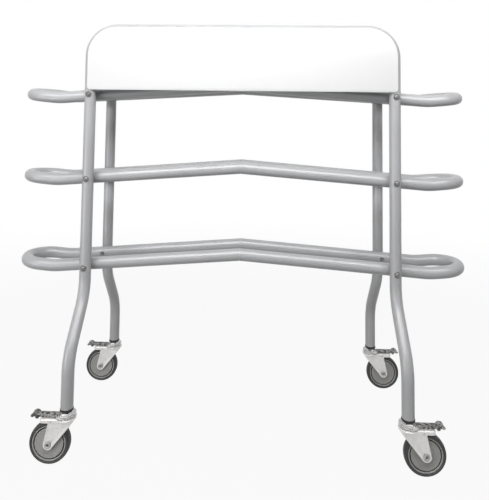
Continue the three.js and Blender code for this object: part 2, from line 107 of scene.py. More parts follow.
# %% Nodes and sums
class Sum:
    """A value that changes over a surface, on which +, - and * make Math nodes."""

    def __init__(self, maker, socket):
        self.maker = maker
        self.socket = socket

    def math(self, operation, first, second):
        node = self.maker.node("ShaderNodeMath", {"operation": operation}, {0: first, 1: second})
        return Sum(self.maker, node.outputs[0])

    def __add__(self, other):
        return self.math("ADD", self, other)

    def __radd__(self, other):
        return self.math("ADD", other, self)

    def __sub__(self, other):
        return self.math("SUBTRACT", self, other)

    def __rsub__(self, other):
        return self.math("SUBTRACT", other, self)

    def __mul__(self, other):
        return self.math("MULTIPLY", self, other)

    def __rmul__(self, other):
        return self.math("MULTIPLY", other, self)

    def above(self, low, high):
        """0 below low, 1 above high and a soft step between them."""
        node = self.maker.node(
            "ShaderNodeMapRange",
            {"interpolation_type": "SMOOTHSTEP"},
            {"Value": self, "From Min": low, "From Max": high},
        )
        return Sum(self.maker, node.outputs["Result"])


class Maker:
    """Adds nodes to a tree."""

    def __init__(self, tree):
        self.tree = tree

    def feed(self, socket, value):
        """Links what comes out of another node, and sets any other value."""
        if isinstance(value, Sum):
            value = value.socket
        if isinstance(value, bpy.types.NodeSocket):
            self.tree.links.new(value, socket)
        else:
            socket.default_value = value

    def node(self, kind, settings=None, inputs=None):
        made = self.tree.nodes.new(kind)
        for name, value in (settings or {}).items():
            setattr(made, name, value)
        for key, value in (inputs or {}).items():
            self.feed(made.inputs[key], value)
        return made


class Finish(Maker):
    """A material built round one Principled shader, with patterns on Object coordinates."""

    def __init__(self, name):
        self.material = bpy.data.materials.new(name)
        self.material.use_nodes = True
        super().__init__(self.material.node_tree)
        self.shader = self.tree.nodes["Principled BSDF"]
        self.place = self.node("ShaderNodeTexCoord").outputs["Object"]

    def noise(self, scale, detail=2.0, roughness=0.5, stretch=None):
        """Cloudy values round 0.5. The scale is in cells to the metre."""
        place = self.place
        if stretch:
            place = self.node("ShaderNodeMapping", inputs={"Vector": place, "Scale": stretch})
            place = place.outputs["Vector"]
        inputs = {"Vector": place, "Scale": scale, "Detail": detail, "Roughness": roughness}
        return Sum(self, self.node("ShaderNodeTexNoise", inputs=inputs).outputs["Fac"])

    def stored(self, name):
        """A value kept at each point of a mesh, or 0 where the mesh has none."""
        node = self.node("ShaderNodeAttribute", {"attribute_name": name})
        return Sum(self, node.outputs["Fac"])

    def mix(self, mask, first, second):
        """The first colour where the mask is 0 and the second where it is 1."""
        node = self.node("ShaderNodeMix", {"data_type": "RGBA"}, {0: mask, 6: first, 7: second})
        return node.outputs[2]

    def bump(self, height, distance, strength=1.0):
        inputs = {"Height": height, "Distance": distance, "Strength": strength}
        self.set(Normal=self.node("ShaderNodeBump", inputs=inputs).outputs["Normal"])

    def set(self, **inputs):
        for name, value in inputs.items():
            self.feed(self.shader.inputs[name.replace("_", " ")], value)


def grey(level, warmth=0.0):
    """A grey as a colour; warmth moves it a little towards yellow."""
    return (level * (1 + warmth), level, level * (1 - warmth), 1)


FINISHES = {}


def keep(slot, finish):
    """Files a material under the name that the pieces ask for."""
    FINISHES[slot] = finish.material
    print(finish.material.name, "has", len(finish.tree.nodes), "nodes")


# %% [markdown]
# ## Finishes
# The tubes are powder coated in silver grey: a satin film with faint orange peel, where
# the powder has flowed together, and a little uneven in its gloss. A painted tube isn't
# bare metal, so the shader is only a little metallic, as flake in a paint is. All patterns
# are noise on Object coordinates, which needs no unwrapping and has no seams on a tube.


# %% Powder coat
def powder_coat():
    finish = Finish("silver_powder_coat")
    cloud = finish.noise(6, detail=3)
    peel = finish.noise(420, detail=1)
    dust = finish.noise(38, detail=5, roughness=0.65)
    scuff = finish.noise(24, detail=6, roughness=0.7, stretch=(1, 1, 4)).above(0.66, 0.74)
    tone = finish.mix(cloud.above(0.3, 0.7), (0.51, 0.513, 0.523, 1), (0.54, 0.543, 0.553, 1))
    worn = finish.mix(scuff * 0.35, tone, (0.42, 0.42, 0.425, 1))
    finish.set(Base_Color=worn, Metallic=0.12, Specular_IOR_Level=0.5)
    finish.set(Roughness=0.31 + 0.05 * dust + 0.12 * scuff)
    finish.bump(peel + 0.4 * dust, 0.00006, 0.12)
    return finish


keep("powder_coat", powder_coat())


# %% [markdown]
# The sign panel is a smooth white sheet. It stays bare. Its surface is almost even, with
# a very slight ripple, which shows only where it mirrors a lamp.


# %% White panel
def white_sheet():
    finish = Finish("white_sheet")
    ripple = finish.noise(9, detail=1)
    grime = finish.noise(30, detail=6, roughness=0.7).above(0.55, 0.8)
    finish.set(Base_Color=finish.mix(grime * 0.25, grey(0.9), grey(0.82, 0.01)))
    finish.set(Roughness=0.32 + 0.12 * grime, Metallic=0.0)
    finish.bump(ripple, 0.0004, 0.3)
    return finish


keep("white_panel", white_sheet())


# %% [markdown]
# Pressed steel parts are zinc plated: pale, slightly cloudy metal with fine drawing lines
# from the press. One function makes them all, since they differ only in tone and gloss:
# the fork and pedal are pale, the axle's rivet is duller, and the bolts are smoother, with
# a dark base colour that is a painted dark reflection, standing in for chrome that mirrors
# dark surroundings. Where a pedal is worn, its mesh keeps a value that mixes in a mottled
# grey. The stem and its disc are plated brighter, with less texture, and have a function of
# their own.


# %% Zinc plate and bright plate
def zinc_plate(name, dark, pale, metallic, roughness):
    finish = Finish(name)
    cloud = finish.noise(60, detail=4, roughness=0.6)
    mottle = finish.noise(150, detail=3, roughness=0.6)
    lines = finish.noise(240, detail=2, stretch=(0.12, 1, 1))
    stain = finish.noise(110, detail=5, roughness=0.7).above(0.56, 0.75)
    tone = finish.mix(cloud.above(0.35, 0.65), grey(dark, 0.01), grey(pale, 0.02))
    plated = finish.mix(stain * 0.4, tone, grey(dark * 0.7, 0.03))
    worn = finish.mix(mottle.above(0.42, 0.6), grey(0.07), grey(0.4, 0.02))
    finish.set(Base_Color=finish.mix(finish.stored("wear_and_painted_shade"), plated, worn))
    finish.set(Metallic=metallic, Roughness=roughness + 0.14 * cloud + 0.08 * stain)
    finish.bump(lines + 0.5 * cloud, 0.00008, 0.4)
    return finish


def bright_plate():
    finish = Finish("bright_plate")
    cloud = finish.noise(90, detail=4, roughness=0.6)
    haze = finish.noise(300, detail=3).above(0.5, 0.8)
    finish.set(Base_Color=finish.mix(cloud.above(0.4, 0.7), grey(0.78), grey(0.86)))
    finish.set(Metallic=1.0, Roughness=0.1 + 0.12 * haze)
    finish.bump(cloud, 0.00005, 0.3)
    return finish


keep("zinc", zinc_plate("zinc_plate", 0.80, 0.88, 0.5, 0.32))
keep("dull_zinc", zinc_plate("dull_zinc", 0.36, 0.5, 0.6, 0.4))
# The bolts' dark base colour is a painted dark reflection, standing in for chrome that mirrors dark
# surroundings.
keep("dark_zinc", zinc_plate("dark_zinc", 0.16, 0.24, 0.8, 0.14))
keep("chrome", bright_plate())


# %% [markdown]
# Caps and collars are moulded black plastic, hubs are moulded grey plastic, and the tread
# is dark grey rubber. All three are dull, and all three hold some dust. Painted shade is
# kept as a value at each point of a mesh, which darkens the colour: at the bottom of the
# groove in the hub, and on the tyre's rounded outer tread, where shade falls.


# %% Plastics and rubber
def moulded(name, colour, roughness, grain):
    finish = Finish(name)
    texture = finish.noise(grain, detail=3, roughness=0.6)
    dust = finish.noise(45, detail=6, roughness=0.7).above(0.5, 0.8)
    pale = tuple(min(1, channel * 1.5 + 0.02) for channel in colour[:3]) + (1,)
    tone = finish.mix(dust * 0.4, colour, pale)
    # Where a mesh keeps a value, near-black painted shade is mixed into the colour.
    finish.set(Base_Color=finish.mix(finish.stored("wear_and_painted_shade"), tone, grey(0.008)))
    finish.set(Roughness=roughness + 0.15 * dust, Metallic=0.0)
    finish.bump(texture, 0.00012, 0.4)
    return finish


keep("black_plastic", moulded("black_plastic", (0.016, 0.016, 0.017, 1), 0.45, 500))
keep("grey_plastic", moulded("grey_plastic", (0.46, 0.455, 0.44, 1), 0.5, 380))
keep("tread", moulded("grey_rubber_tread", (0.05, 0.05, 0.052, 1), 0.5, 700))

# %% [markdown]
# ## From a drawing to a piece
# Most pieces start as a flat outline: a plate is an outline given a thickness, a turned
# piece is half of its section spun round an axis. Corners are rounded where they are
# drawn, since a sharp corner in real metal or plastic hardly exists, and it is the small
# rounding that catches the light.


# %% Outlines with rounded corners
CORNER_STEPS = 5


def rounded(corners, closed=True, steps=CORNER_STEPS):
    """Corners are (x, y) or (x, y, radius of the rounding)."""
    points = []
    count = len(corners)
    for i, corner in enumerate(corners):
        here = Vector(corner[:2])
        at_end = not closed and i in (0, count - 1)
        if len(corner) < 3 or not corner[2] or at_end:
            points.append(here)
            continue
        radius = corner[2]
        back = (Vector(corners[i - 1][:2]) - here).normalized()
        ahead = (Vector(corners[(i + 1) % count][:2]) - here).normalized()
        half = back.angle(ahead) / 2
        centre = here + (back + ahead).normalized() * radius / math.sin(half)
        start = here + back * radius / math.tan(half) - centre
        end = here + ahead * radius / math.tan(half) - centre
        sweep = start.angle(end)
        for k in range(steps + 1):
            part = k / steps
            first = math.sin((1 - part) * sweep) / math.sin(sweep)
            second = math.sin(part * sweep) / math.sin(sweep)
            points.append(centre + start * first + end * second)
    return points


def arc(x, y, radius, start, end, steps=12):
    """Points on a circle, from one angle to another, in degrees."""
    turns = [math.radians(start + (end - start) * k / steps) for k in range(steps + 1)]
    return [(x + radius * math.cos(turn), y + radius * math.sin(turn)) for turn in turns]


def circle(x, y, radius, steps=32):
    return arc(x, y, radius, 0, 360, steps)[:-1]


# %% Meshes and objects
SMOOTH_BELOW = math.radians(28)
WELD = 0.0005
EDGE = 0.3


def tidy(mesh):
    """Welds doubles and points the faces outwards."""
    shape = bmesh.new()
    shape.from_mesh(mesh)
    bmesh.ops.remove_doubles(shape, verts=shape.verts, dist=WELD)
    bmesh.ops.dissolve_degenerate(shape, edges=shape.edges, dist=WELD)
    bmesh.ops.recalc_face_normals(shape, faces=shape.faces)
    shape.to_mesh(mesh)
    shape.free()
    return mesh


def solid(name, mesh):
    """An object for a mesh that is still drawn in millimetres."""
    made = bpy.data.objects.new(name, mesh)
    bpy.context.scene.collection.objects.link(made)
    return made


def settle(made):
    """Turns an object and its modifiers into one plain mesh."""
    shown = made.evaluated_get(bpy.context.evaluated_depsgraph_get())
    mesh = bpy.data.meshes.new_from_object(shown)
    made.modifiers.clear()
    made.data = mesh
    return made


def turned(name, profile, sides=48):
    """A piece on a lathe: the profile is (radius, place along Z) and runs from axis to axis,
    or is closed on itself."""
    shape = bmesh.new()
    rings = []
    for radius, along in profile:
        if radius < 1e-6:
            rings.append([shape.verts.new((0, 0, along))])
            continue
        turns = [2 * math.pi * k / sides for k in range(sides)]
        rings.append(
            [shape.verts.new((radius * math.cos(t), radius * math.sin(t), along)) for t in turns]
        )
    closed = len(rings[0]) > 1
    pairs = list(zip(rings, rings[1:] + rings[:1])) if closed else list(zip(rings, rings[1:]))
    for low, high in pairs:
        for k in range(sides):
            n = (k + 1) % sides
            around = [(low, k), (low, n), (high, n), (high, k)]
            corners = [ring[at % len(ring)] for ring, at in around]
            unique = list(dict.fromkeys(corners))
            if len(unique) > 2:
                shape.faces.new(unique)
    mesh = bpy.data.meshes.new(name)
    shape.to_mesh(mesh)
    shape.free()
    return solid(name, tidy(mesh))


def plate(name, outlines, thickness, edge=EDGE):
    """A plate cut from sheet, half above and half below z = 0. The first outline is its own,
    the others are holes, and edge is how far the cut edges are rounded."""
    drawing = bpy.data.curves.new(name, "CURVE")
    drawing.dimensions = "2D"
    drawing.fill_mode = "BOTH"
    drawing.extrude = thickness / 2 - edge
    drawing.bevel_depth = edge
    drawing.bevel_resolution = 1
    drawing.offset = -edge
    for outline in outlines:
        spline = drawing.splines.new("POLY")
        spline.points.add(len(outline) - 1)
        for point, place in zip(spline.points, outline):
            point.co = (place[0], place[1], 0, 1)
        spline.use_cyclic_u = True
    sketch = bpy.data.objects.new(name, drawing)
    bpy.context.scene.collection.objects.link(sketch)
    shown = sketch.evaluated_get(bpy.context.evaluated_depsgraph_get())
    mesh = bpy.data.meshes.new_from_object(shown)
    bpy.data.objects.remove(sketch)
    return solid(name, tidy(mesh))


def upright(name, outlines, thickness, y=0.0, edge=EDGE):
    """A plate drawn in X and Z, with its middle at y."""
    made = plate(name, outlines, thickness, edge)
    made.data.transform(Matrix.Translation((0, y, 0)) @ Matrix.Rotation(math.pi / 2, 4, "X"))
    return made


def combine(made, tool, operation):
    """Joins, cuts or intersects, and uses the tool up."""
    step = made.modifiers.new("combine", "BOOLEAN")
    step.operation = operation
    step.solver = "EXACT"
    step.object = tool
    settle(made)
    bpy.data.objects.remove(tool)
    return made


def soften(made, width, angle=35):
    """Rounds every edge that is sharper than the angle."""
    step = made.modifiers.new("soften", "BEVEL")
    step.width = width
    step.segments = 2
    step.limit_method = "ANGLE"
    step.angle_limit = math.radians(angle)
    step.use_clamp_overlap = True
    return settle(made)


def finish_piece(made, slot, body, *nodes, place=None, finish=None):
    """Puts a drawn piece where it belongs, in metres, and hands it to the frame. The finish
    is that of its slot unless another one is named."""
    made.data.transform(Matrix.Scale(METRES, 4) @ (place or Matrix.Identity(4)))
    made.data.materials.clear()
    made.data.materials.append(FINISHES[finish or slot])
    made.data.shade_smooth()
    made.data.set_sharp_from_angle(angle=SMOOTH_BELOW)
    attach(made, body)
    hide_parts(*nodes)
    print(f"{made.name}: {len(made.data.polygons)} faces on {body}")


# %% [markdown]
# ## Bent tube
# Posts, arch and shelves are all round tube, bent on the same machine: straight lengths
# and bends. The job sheet of such a bend is a path, and the tube is a circle carried along
# it. Geometry Nodes do exactly that, so one tree makes every tube here. A radius is stored
# at each point of the path, so that a tube can be necked or its end rounded, and Solidify
# then gives the wall its thickness.


# %% The bender's path
RING_GAP = 1.5
RIM = [(0.0, 0.35), (0.12, 0.14), (0.35, 0.0)]  # along the tube, and less than its radius
RIM_LENGTH = RIM[-1][0]


class BenderPath:
    """Points in millimetres along straight lengths and bends in one plane."""

    def __init__(self, start, heading, plane_normal, radius):
        self.heading = Vector(heading).normalized()
        self.normal = Vector(plane_normal)
        self.points = [Vector(start)]
        self.radii = [radius]

    def forward(self, length, radius=None):
        """A straight length. A ring near each end of a long one keeps its shading straight."""
        start = self.points[-1]
        long = length > 4 * RING_GAP
        stops = [RING_GAP, length - RING_GAP, length] if long else [length]
        for along in stops:
            self.points.append(start + self.heading * along)
            self.radii.append(self.radii[-1])
        if radius is not None:
            self.radii[-1] = radius
        return self

    def bend(self, radius, angle, steps):
        towards = self.normal.cross(self.heading) * (1 if angle > 0 else -1)
        start, heading = self.points[-1], self.heading.copy()
        for k in range(1, steps + 1):
            turn = abs(angle) * k / steps
            out = towards * (1 - math.cos(turn)) + heading * math.sin(turn)
            self.points.append(start + out * radius)
            self.radii.append(self.radii[-1])
        self.heading = heading * math.cos(abs(angle)) + towards * math.sin(abs(angle))
        return self

    def soft_end(self, full, opening):
        """A rounded rim, at the path's start if opening is true, and at its end if not."""
        if opening:
            start = self.points[0]
            self.points = [start + self.heading * along for along, _ in RIM]
            self.radii = [full - less for _, less in RIM]
        else:
            end = self.points[-1]
            self.points[-1:] = [end - self.heading * along for along, _ in reversed(RIM)]
            self.radii[-1:] = [full - less for _, less in reversed(RIM)]


# %% The tube tree
def new_tree(name, **kinds):
    """An empty tree with named inputs: a maker of its nodes, and the inputs' sockets."""
    tree = bpy.data.node_groups.new(name, "GeometryNodeTree")
    for socket, kind in kinds.items():
        tree.interface.new_socket(socket, in_out="INPUT", socket_type="NodeSocket" + kind)
    tree.interface.new_socket("Finish", in_out="INPUT", socket_type="NodeSocketMaterial")
    tree.interface.new_socket("Result", in_out="OUTPUT", socket_type="NodeSocketGeometry")
    make = Maker(tree)
    return make, make.node("NodeGroupInput").outputs


def close_tree(make, given, shape):
    """Ends a tree in Realize Instances, since the export drops instances, and Set Material."""
    real = make.node("GeometryNodeRealizeInstances", inputs={"Geometry": shape})
    inputs = {"Geometry": real.outputs["Geometry"], "Material": given["Finish"]}
    painted = make.node("GeometryNodeSetMaterial", inputs=inputs)
    make.node("NodeGroupOutput", inputs={"Result": painted.outputs["Geometry"]})
    print("tree", make.tree.name, "has", len(make.tree.nodes), "nodes")
    return make.tree


def stored_value(make, name, kind):
    settings, inputs = {"data_type": kind}, {"Name": name}
    return make.node("GeometryNodeInputNamedAttribute", settings, inputs).outputs["Attribute"]


def tube_tree():
    make, given = new_tree("bent_tube", Path="Geometry", Sides="Int")
    line = make.node("GeometryNodeMeshToCurve", inputs={"Mesh": given["Path"]})
    section = make.node("GeometryNodeCurvePrimitiveCircle", inputs={"Resolution": given["Sides"]})
    inputs = {
        "Curve": line.outputs["Curve"],
        "Profile Curve": section.outputs["Curve"],
        "Scale": stored_value(make, "tube_radius", "FLOAT"),
    }
    tube = make.node("GeometryNodeCurveToMesh", inputs=inputs)
    return close_tree(make, given, tube.outputs["Mesh"])


TUBE_TREE = tube_tree()


def run_tree(name, base, tree, **inputs):
    """A base mesh that goes through a tree and comes out as a plain mesh."""
    made = solid(name, base)
    step = made.modifiers.new(name, "NODES")
    step.node_group = tree
    for item in tree.interface.items_tree:
        if item.in_out == "INPUT" and item.name in inputs:
            step[item.identifier] = inputs[item.name]
    return settle(made)


def bent_tube(name, path, sides=48):
    base = bpy.data.meshes.new(name)
    edges = [(k, k + 1) for k in range(len(path.points) - 1)]
    base.from_pydata([tuple(point) for point in path.points], edges, [])
    stored = base.attributes.new("tube_radius", "FLOAT", "POINT")
    stored.data.foreach_set("value", path.radii)
    made = run_tree(name, base, TUBE_TREE, Sides=sides, Finish=FINISHES["powder_coat"])
    tidy(made.data)
    return made


def wall(made, thickness):
    """Gives a tube its wall, inwards from its outside."""
    step = made.modifiers.new("wall", "SOLIDIFY")
    step.thickness = thickness
    step.offset = -1
    step.use_rim = True
    return settle(made)


# %% [markdown]
# ## Posts
# Each post is one length of 38 mm tube. An S-bend near the floor carries its foot out to
# the front or the back, so the cart stands on a wide base. The front posts end at a joint
# with the arch, and the rear ones end in a plastic cap just above the top shelf. At the
# foot the tube is necked a little round the caster's insert. A path says all of this in a
# few lines, and Solidify adds the wall to the finished shape.

# %% Front and rear posts
LEG_STEPS = 14
FOOT_NECK = 14
NECK_RADIUS = POST_RADIUS - 1.9


def post_path(side, depth, top):
    slant = LEG_SPLAY - 2 * LEG_BEND_RADIUS * (1 - math.cos(LEG_BEND))
    length = slant / math.sin(LEG_BEND)
    height = 2 * LEG_BEND_RADIUS * math.sin(LEG_BEND) + length * math.cos(LEG_BEND)
    start = (side * HALF_SPACING, depth * POST_LINE, top)
    path = BenderPath(start, (0, 0, -1), (1, 0, 0), POST_RADIUS)
    path.soft_end(POST_RADIUS, True)
    path.forward(top - LEG_BEND_HEIGHT - height / 2 - RIM_LENGTH)
    path.bend(LEG_BEND_RADIUS, depth * LEG_BEND, LEG_STEPS)
    path.forward(length)
    path.bend(LEG_BEND_RADIUS, depth * -LEG_BEND, LEG_STEPS)
    straight = path.points[-1].z - LEG_FOOT
    path.forward(straight - FOOT_NECK)
    path.forward(FOOT_NECK, NECK_RADIUS)
    path.soft_end(NECK_RADIUS, False)
    return path


rear_top = rail_height("upper") + REAR_POST_RISE
for side_name, side in SIDES.items():
    for depth_name, top in [("front", ARCH_SEAM), ("rear", rear_top)]:
        node = f"{depth_name}_post_{side_name}"
        post = bent_tube(f"{node}_tube", post_path(side, DEPTHS[depth_name], top))
        finish_piece(wall(post, TUBE_WALL), "powder_coat", "frame", node)
print("rear posts end at", round(rear_top, 1), "mm")

# %% [markdown]
# ## Arch
# The arch is the same tube, with its ends narrowed to slide into the front posts. The
# radius at each point of its path makes the step from full to narrow, over a shoulder of a
# few rings. The arch is symmetric, so its second shoulder is the first one, backwards.

# %% Arch
ARCH_WALL = 1.8
ARCH_STEPS = 16
SWAGE_RADIUS = 14.9
SWAGE_LENGTH = 60
SHOULDER_STEPS = [0.01, 0.12, 0.25]
SHOULDER_RADII = [SWAGE_RADIUS, POST_RADIUS - 0.35, POST_RADIUS - 0.14, POST_RADIUS]


def arch_path():
    rise = ARCH_TOP - POST_RADIUS - ARCH_CORNER - ARCH_SEAM - SEAT_GAP - sum(SHOULDER_STEPS)
    start = (-HALF_SPACING, -POST_LINE, ARCH_SEAM - SWAGE_LENGTH)
    path = BenderPath(start, (0, 0, 1), (0, 1, 0), SWAGE_RADIUS)
    path.forward(SWAGE_LENGTH + SEAT_GAP)
    for step, radius in zip(SHOULDER_STEPS, SHOULDER_RADII[1:]):
        path.forward(step, radius)
    path.forward(rise).bend(ARCH_CORNER, math.pi / 2, ARCH_STEPS)
    path.forward(2 * HALF_SPACING - 2 * ARCH_CORNER)
    path.bend(ARCH_CORNER, math.pi / 2, ARCH_STEPS).forward(rise)
    for step, radius in zip(reversed(SHOULDER_STEPS), reversed(SHOULDER_RADII[:-1])):
        path.forward(step, radius)
    return path.forward(SWAGE_LENGTH + SEAT_GAP)


arch = wall(bent_tube("header_arch_tube", arch_path()), ARCH_WALL)
finish_piece(arch, "powder_coat", "frame", "header_arch")

# %% [markdown]
# ## Sign panel
# The sign is a plain white sheet screwed to the arch from behind. A sheet is an outline
# with a thickness: its upper corners follow the arch's bends, its lower ones have a small
# radius, and its edges are softened as a router leaves them.

# %% Sign panel
SIGN_BOTTOM = 1156.4
SIGN_INSET = 14
SIGN_THICKNESS = 3
SIGN_FOOT_RADIUS = 12
SIGN_EDGE = 0.7


def sign_outline():
    half = HALF_SPACING + POST_RADIUS - SIGN_INSET
    top = ARCH_TOP - SIGN_INSET
    shoulder = ARCH_CORNER + POST_RADIUS - SIGN_INSET
    corners = [
        (-half, SIGN_BOTTOM, SIGN_FOOT_RADIUS),
        (half, SIGN_BOTTOM, SIGN_FOOT_RADIUS),
        (half, top, shoulder),
        (-half, top, shoulder),
    ]
    return rounded(corners, steps=16)


sign_y = -POST_LINE - POST_RADIUS - SEAT_GAP - SIGN_THICKNESS / 2
sign = upright("sign_sheet", [sign_outline()], SIGN_THICKNESS, sign_y, SIGN_EDGE)
finish_piece(sign, "white_panel", "frame", "sign_panel")

# %% [markdown]
# ## Shelves
# Each shelf is two hairpins of tube, one to each side, that meet over a sleeve at the
# middle of the cart. They fall a few degrees to their round ends, and the last stretch is
# turned up again, so that nothing rolls off. A bender would set that kick after the hairpin
# is bent, and here too the finished tube is bent: every point past a line turns upwards,
# over a radius and then straight on. The rear rail of the top shelf has a little less fall
# than the front one. The ends at the middle are cut upright, so their rings are sheared
# onto that plane.

# %% Shelf halves
LOOP_STEPS = 64
SEAM_REACH = 4  # of the rings that the upright cut moves
KICK_START = 625
KICK_LEAD = 6  # of the close rings, before the kick
KICK_ANGLE = math.radians(9.5)
KICK_RADIUS = 250
KICK_STEPS = 14


def shelf_path(side, tier):
    out = (side * math.cos(SHELF_FALL), 0, -math.sin(SHELF_FALL))
    straight = (SHELF_REACH - RAIL_RADIUS) / math.cos(SHELF_FALL) - RAIL_LINE
    start = (side * SHELF_SEAM, -RAIL_LINE, TIERS[tier])
    normal = Vector(out).cross(Vector((0, 1, 0)))
    path = BenderPath(start, out, normal, RAIL_RADIUS)
    level = (KICK_START - KICK_LEAD) / math.cos(SHELF_FALL)
    path.soft_end(RAIL_RADIUS, True)
    path.forward(level - RIM_LENGTH)
    for _ in range(KICK_STEPS):
        path.forward((straight - level) / KICK_STEPS)
    path.bend(RAIL_LINE, math.pi, LOOP_STEPS)
    for _ in range(KICK_STEPS):
        path.forward((straight - level) / KICK_STEPS)
    path.forward(level)
    path.soft_end(RAIL_RADIUS, False)
    return path


def turn_up(made, side, tier):
    """Bends the outer end of a half upwards, over a radius and then straight on."""
    for vertex in made.data.vertices:
        past = max(0, abs(vertex.co.x) - KICK_START)
        turn = min(past / KICK_RADIUS, KICK_ANGLE)
        straight = past - turn * KICK_RADIUS
        above = vertex.co.z - rail_height(tier, vertex.co.x)
        out = (KICK_RADIUS - above) * math.sin(turn) + straight * math.cos(turn)
        up = (KICK_RADIUS - above) * (1 - math.cos(turn)) + straight * math.sin(turn)
        vertex.co.x += side * (out - past)
        vertex.co.z += up


def lift_rear(made, tier):
    """Gives the rear rail of a tier less fall than the front one."""
    for vertex in made.data.vertices:
        part = (vertex.co.y + RAIL_LINE) / (2 * RAIL_LINE)
        vertex.co.z += REAR_LIFT[tier] * part * abs(vertex.co.x) / HALF_SPACING


def cut_upright(made, side, tier):
    """Shears the rings next to the seam along the tube, until they are upright."""
    for vertex in made.data.vertices:
        along = side * vertex.co.x
        if along < SEAM_REACH:
            above = vertex.co.z - TIERS[tier]
            vertex.co.x -= side * above * math.tan(SHELF_FALL)
            vertex.co.z += above * math.tan(SHELF_FALL) ** 2


for tier in TIERS:
    for side_name, side in SIDES.items():
        half = bent_tube(f"{tier}_shelf_{side_name}_tube", shelf_path(side, tier))
        cut_upright(half, side, tier)
        turn_up(half, side, tier)
        lift_rear(half, tier)
        wall(half, TUBE_WALL)
        finish_piece(half, "powder_coat", "frame", f"{tier}_shelf_{side_name}")

# %% [markdown]
# Inside each seam lies a sleeve, a short tube that both halves slide over. Nobody sees it
# until a shelf is taken apart, but without it the halves would have nothing to hold them
# in line. It has the seam's angle, so it is bent in its middle, over a radius that still
# fits in the bore.

# %% Sleeves
SLEEVE_RADIUS = RAIL_RADIUS - TUBE_WALL - SEAT_GAP
SLEEVE_REACH = 60
SLEEVE_WALL = 3
SLEEVE_BEND = 40
SLEEVE_SIDES = 40


def sleeve_path(tier, depth):
    start = (-SLEEVE_REACH, depth * RAIL_LINE, rail_height(tier, SLEEVE_REACH))
    heading = (math.cos(SHELF_FALL), 0, math.sin(SHELF_FALL))
    path = BenderPath(start, heading, (0, 1, 0), SLEEVE_RADIUS)
    straight = SLEEVE_REACH / math.cos(SHELF_FALL) - SLEEVE_BEND * math.tan(SHELF_FALL)
    path.soft_end(SLEEVE_RADIUS, True)
    path.forward(straight - RIM_LENGTH)
    path.bend(SLEEVE_BEND, 2 * SHELF_FALL, 4)
    path.forward(straight)
    path.soft_end(SLEEVE_RADIUS, False)
    return path


for tier in TIERS:
    for depth_name, depth in DEPTHS.items():
        name = f"{tier}_{depth_name}_seam_sleeve"
        sleeve = bent_tube(name, sleeve_path(tier, depth), SLEEVE_SIDES)
        lift_rear(sleeve, tier)
        wall(sleeve, SLEEVE_WALL)
        finish_piece(sleeve, "zinc", "frame", f"{tier}_sleeve_{depth_name}")

# %% [markdown]
# ## Shelf bolts
# Twelve bolts hold the rails to the posts, each with a domed head and a hex socket outside,
# a washer, and a nut on the rail's inner side. A lathe makes the head, washer and shank from
# one profile, and the socket and the nut are hexagons that are cut out and joined on.

# %% One bolt
HEAD_RADIUS = 8
HEAD_HEIGHT = 5
WASHER_RADIUS = 10.5
WASHER_THICKNESS = 1.5
BOLT_RADIUS = 4
NUT_RADIUS = 7.5
NUT_THICKNESS = 7
SOCKET_RADIUS = 2.9
SOCKET_DEPTH = 3
BOLT_GRIP = 2 * POST_RADIUS + 2 * RAIL_RADIUS + 3 * SEAT_GAP


def hexagon(radius, turn=30):
    return arc(0, 0, radius, turn, turn + 360, 6)[:-1]


def shelf_bolt():
    """Drawn along +Z from the washer's back, which lies on the post at z = 0."""
    top = -WASHER_THICKNESS - HEAD_HEIGHT
    profile = [
        (0, top + 0.05),
        (3.4, top + 0.05),
        (4.4, top + 0.3),
        (6.2, top + 1.4),
        (7.4, top + 3.0),
        (HEAD_RADIUS - 0.1, top + 4.5),
        (HEAD_RADIUS - 0.3, -WASHER_THICKNESS),
        (WASHER_RADIUS - 0.4, -WASHER_THICKNESS),
        (WASHER_RADIUS, -WASHER_THICKNESS + 0.4),
        (WASHER_RADIUS, -0.4),
        (WASHER_RADIUS - 0.4, 0),
        (BOLT_RADIUS, 0),
        (BOLT_RADIUS, BOLT_GRIP + NUT_THICKNESS - 1),
        (BOLT_RADIUS - 0.8, BOLT_GRIP + NUT_THICKNESS),
        (0, BOLT_GRIP + NUT_THICKNESS),
    ]
    bolt = turned("shelf_bolt", profile, sides=24)
    socket = plate("socket", [hexagon(SOCKET_RADIUS)], 2 * SOCKET_DEPTH, edge=0.05)
    socket.data.transform(Matrix.Translation((0, 0, top)))
    combine(bolt, socket, "DIFFERENCE")
    outline = rounded([(x, y, 0.8) for x, y in hexagon(NUT_RADIUS)], steps=2)
    nut = plate("nut", [outline], NUT_THICKNESS - 1)
    nut.data.transform(Matrix.Translation((0, 0, BOLT_GRIP + NUT_THICKNESS / 2 - 0.5)))
    return combine(bolt, nut, "UNION")


one_bolt = shelf_bolt()
print("one bolt has", len(one_bolt.data.polygons), "faces")

# %% [markdown]
# The bolts are all alike, and placing them by hand would be twelve chances for a slip. So
# Geometry Nodes put a copy of the one bolt at each point of a small mesh, turned to the
# side that the point asks for: the front ones look forwards and the rear ones backwards.

# %% Copies at points
def copies_tree():
    """Puts a copy of an object at each vertex, with its Z axis along the stored direction."""
    make, given = new_tree("copies_at_points", Points="Geometry", Piece="Object")
    facing = stored_value(make, "facing", "FLOAT_VECTOR")
    turn = make.node("FunctionNodeAlignRotationToVector", {"axis": "Z"}, {"Vector": facing})
    piece = make.node("GeometryNodeObjectInfo", inputs={"Object": given["Piece"]})
    inputs = {
        "Points": given["Points"],
        "Instance": piece.outputs["Geometry"],
        "Rotation": turn.outputs["Rotation"],
    }
    placed = make.node("GeometryNodeInstanceOnPoints", inputs=inputs)
    return close_tree(make, given, placed.outputs["Instances"])


COPIES_TREE = copies_tree()


def copies(name, piece, places, slot):
    """Places are (x, y, z, direction) in millimetres."""
    base = bpy.data.meshes.new(name)
    base.from_pydata([place[:3] for place in places], [], [])
    facing = base.attributes.new("facing", "FLOAT_VECTOR", "POINT")
    facing.data.foreach_set("vector", [part for place in places for part in place[3]])
    made = run_tree(name, base, COPIES_TREE, Piece=piece, Finish=FINISHES[slot])
    bpy.data.objects.remove(piece)
    return made


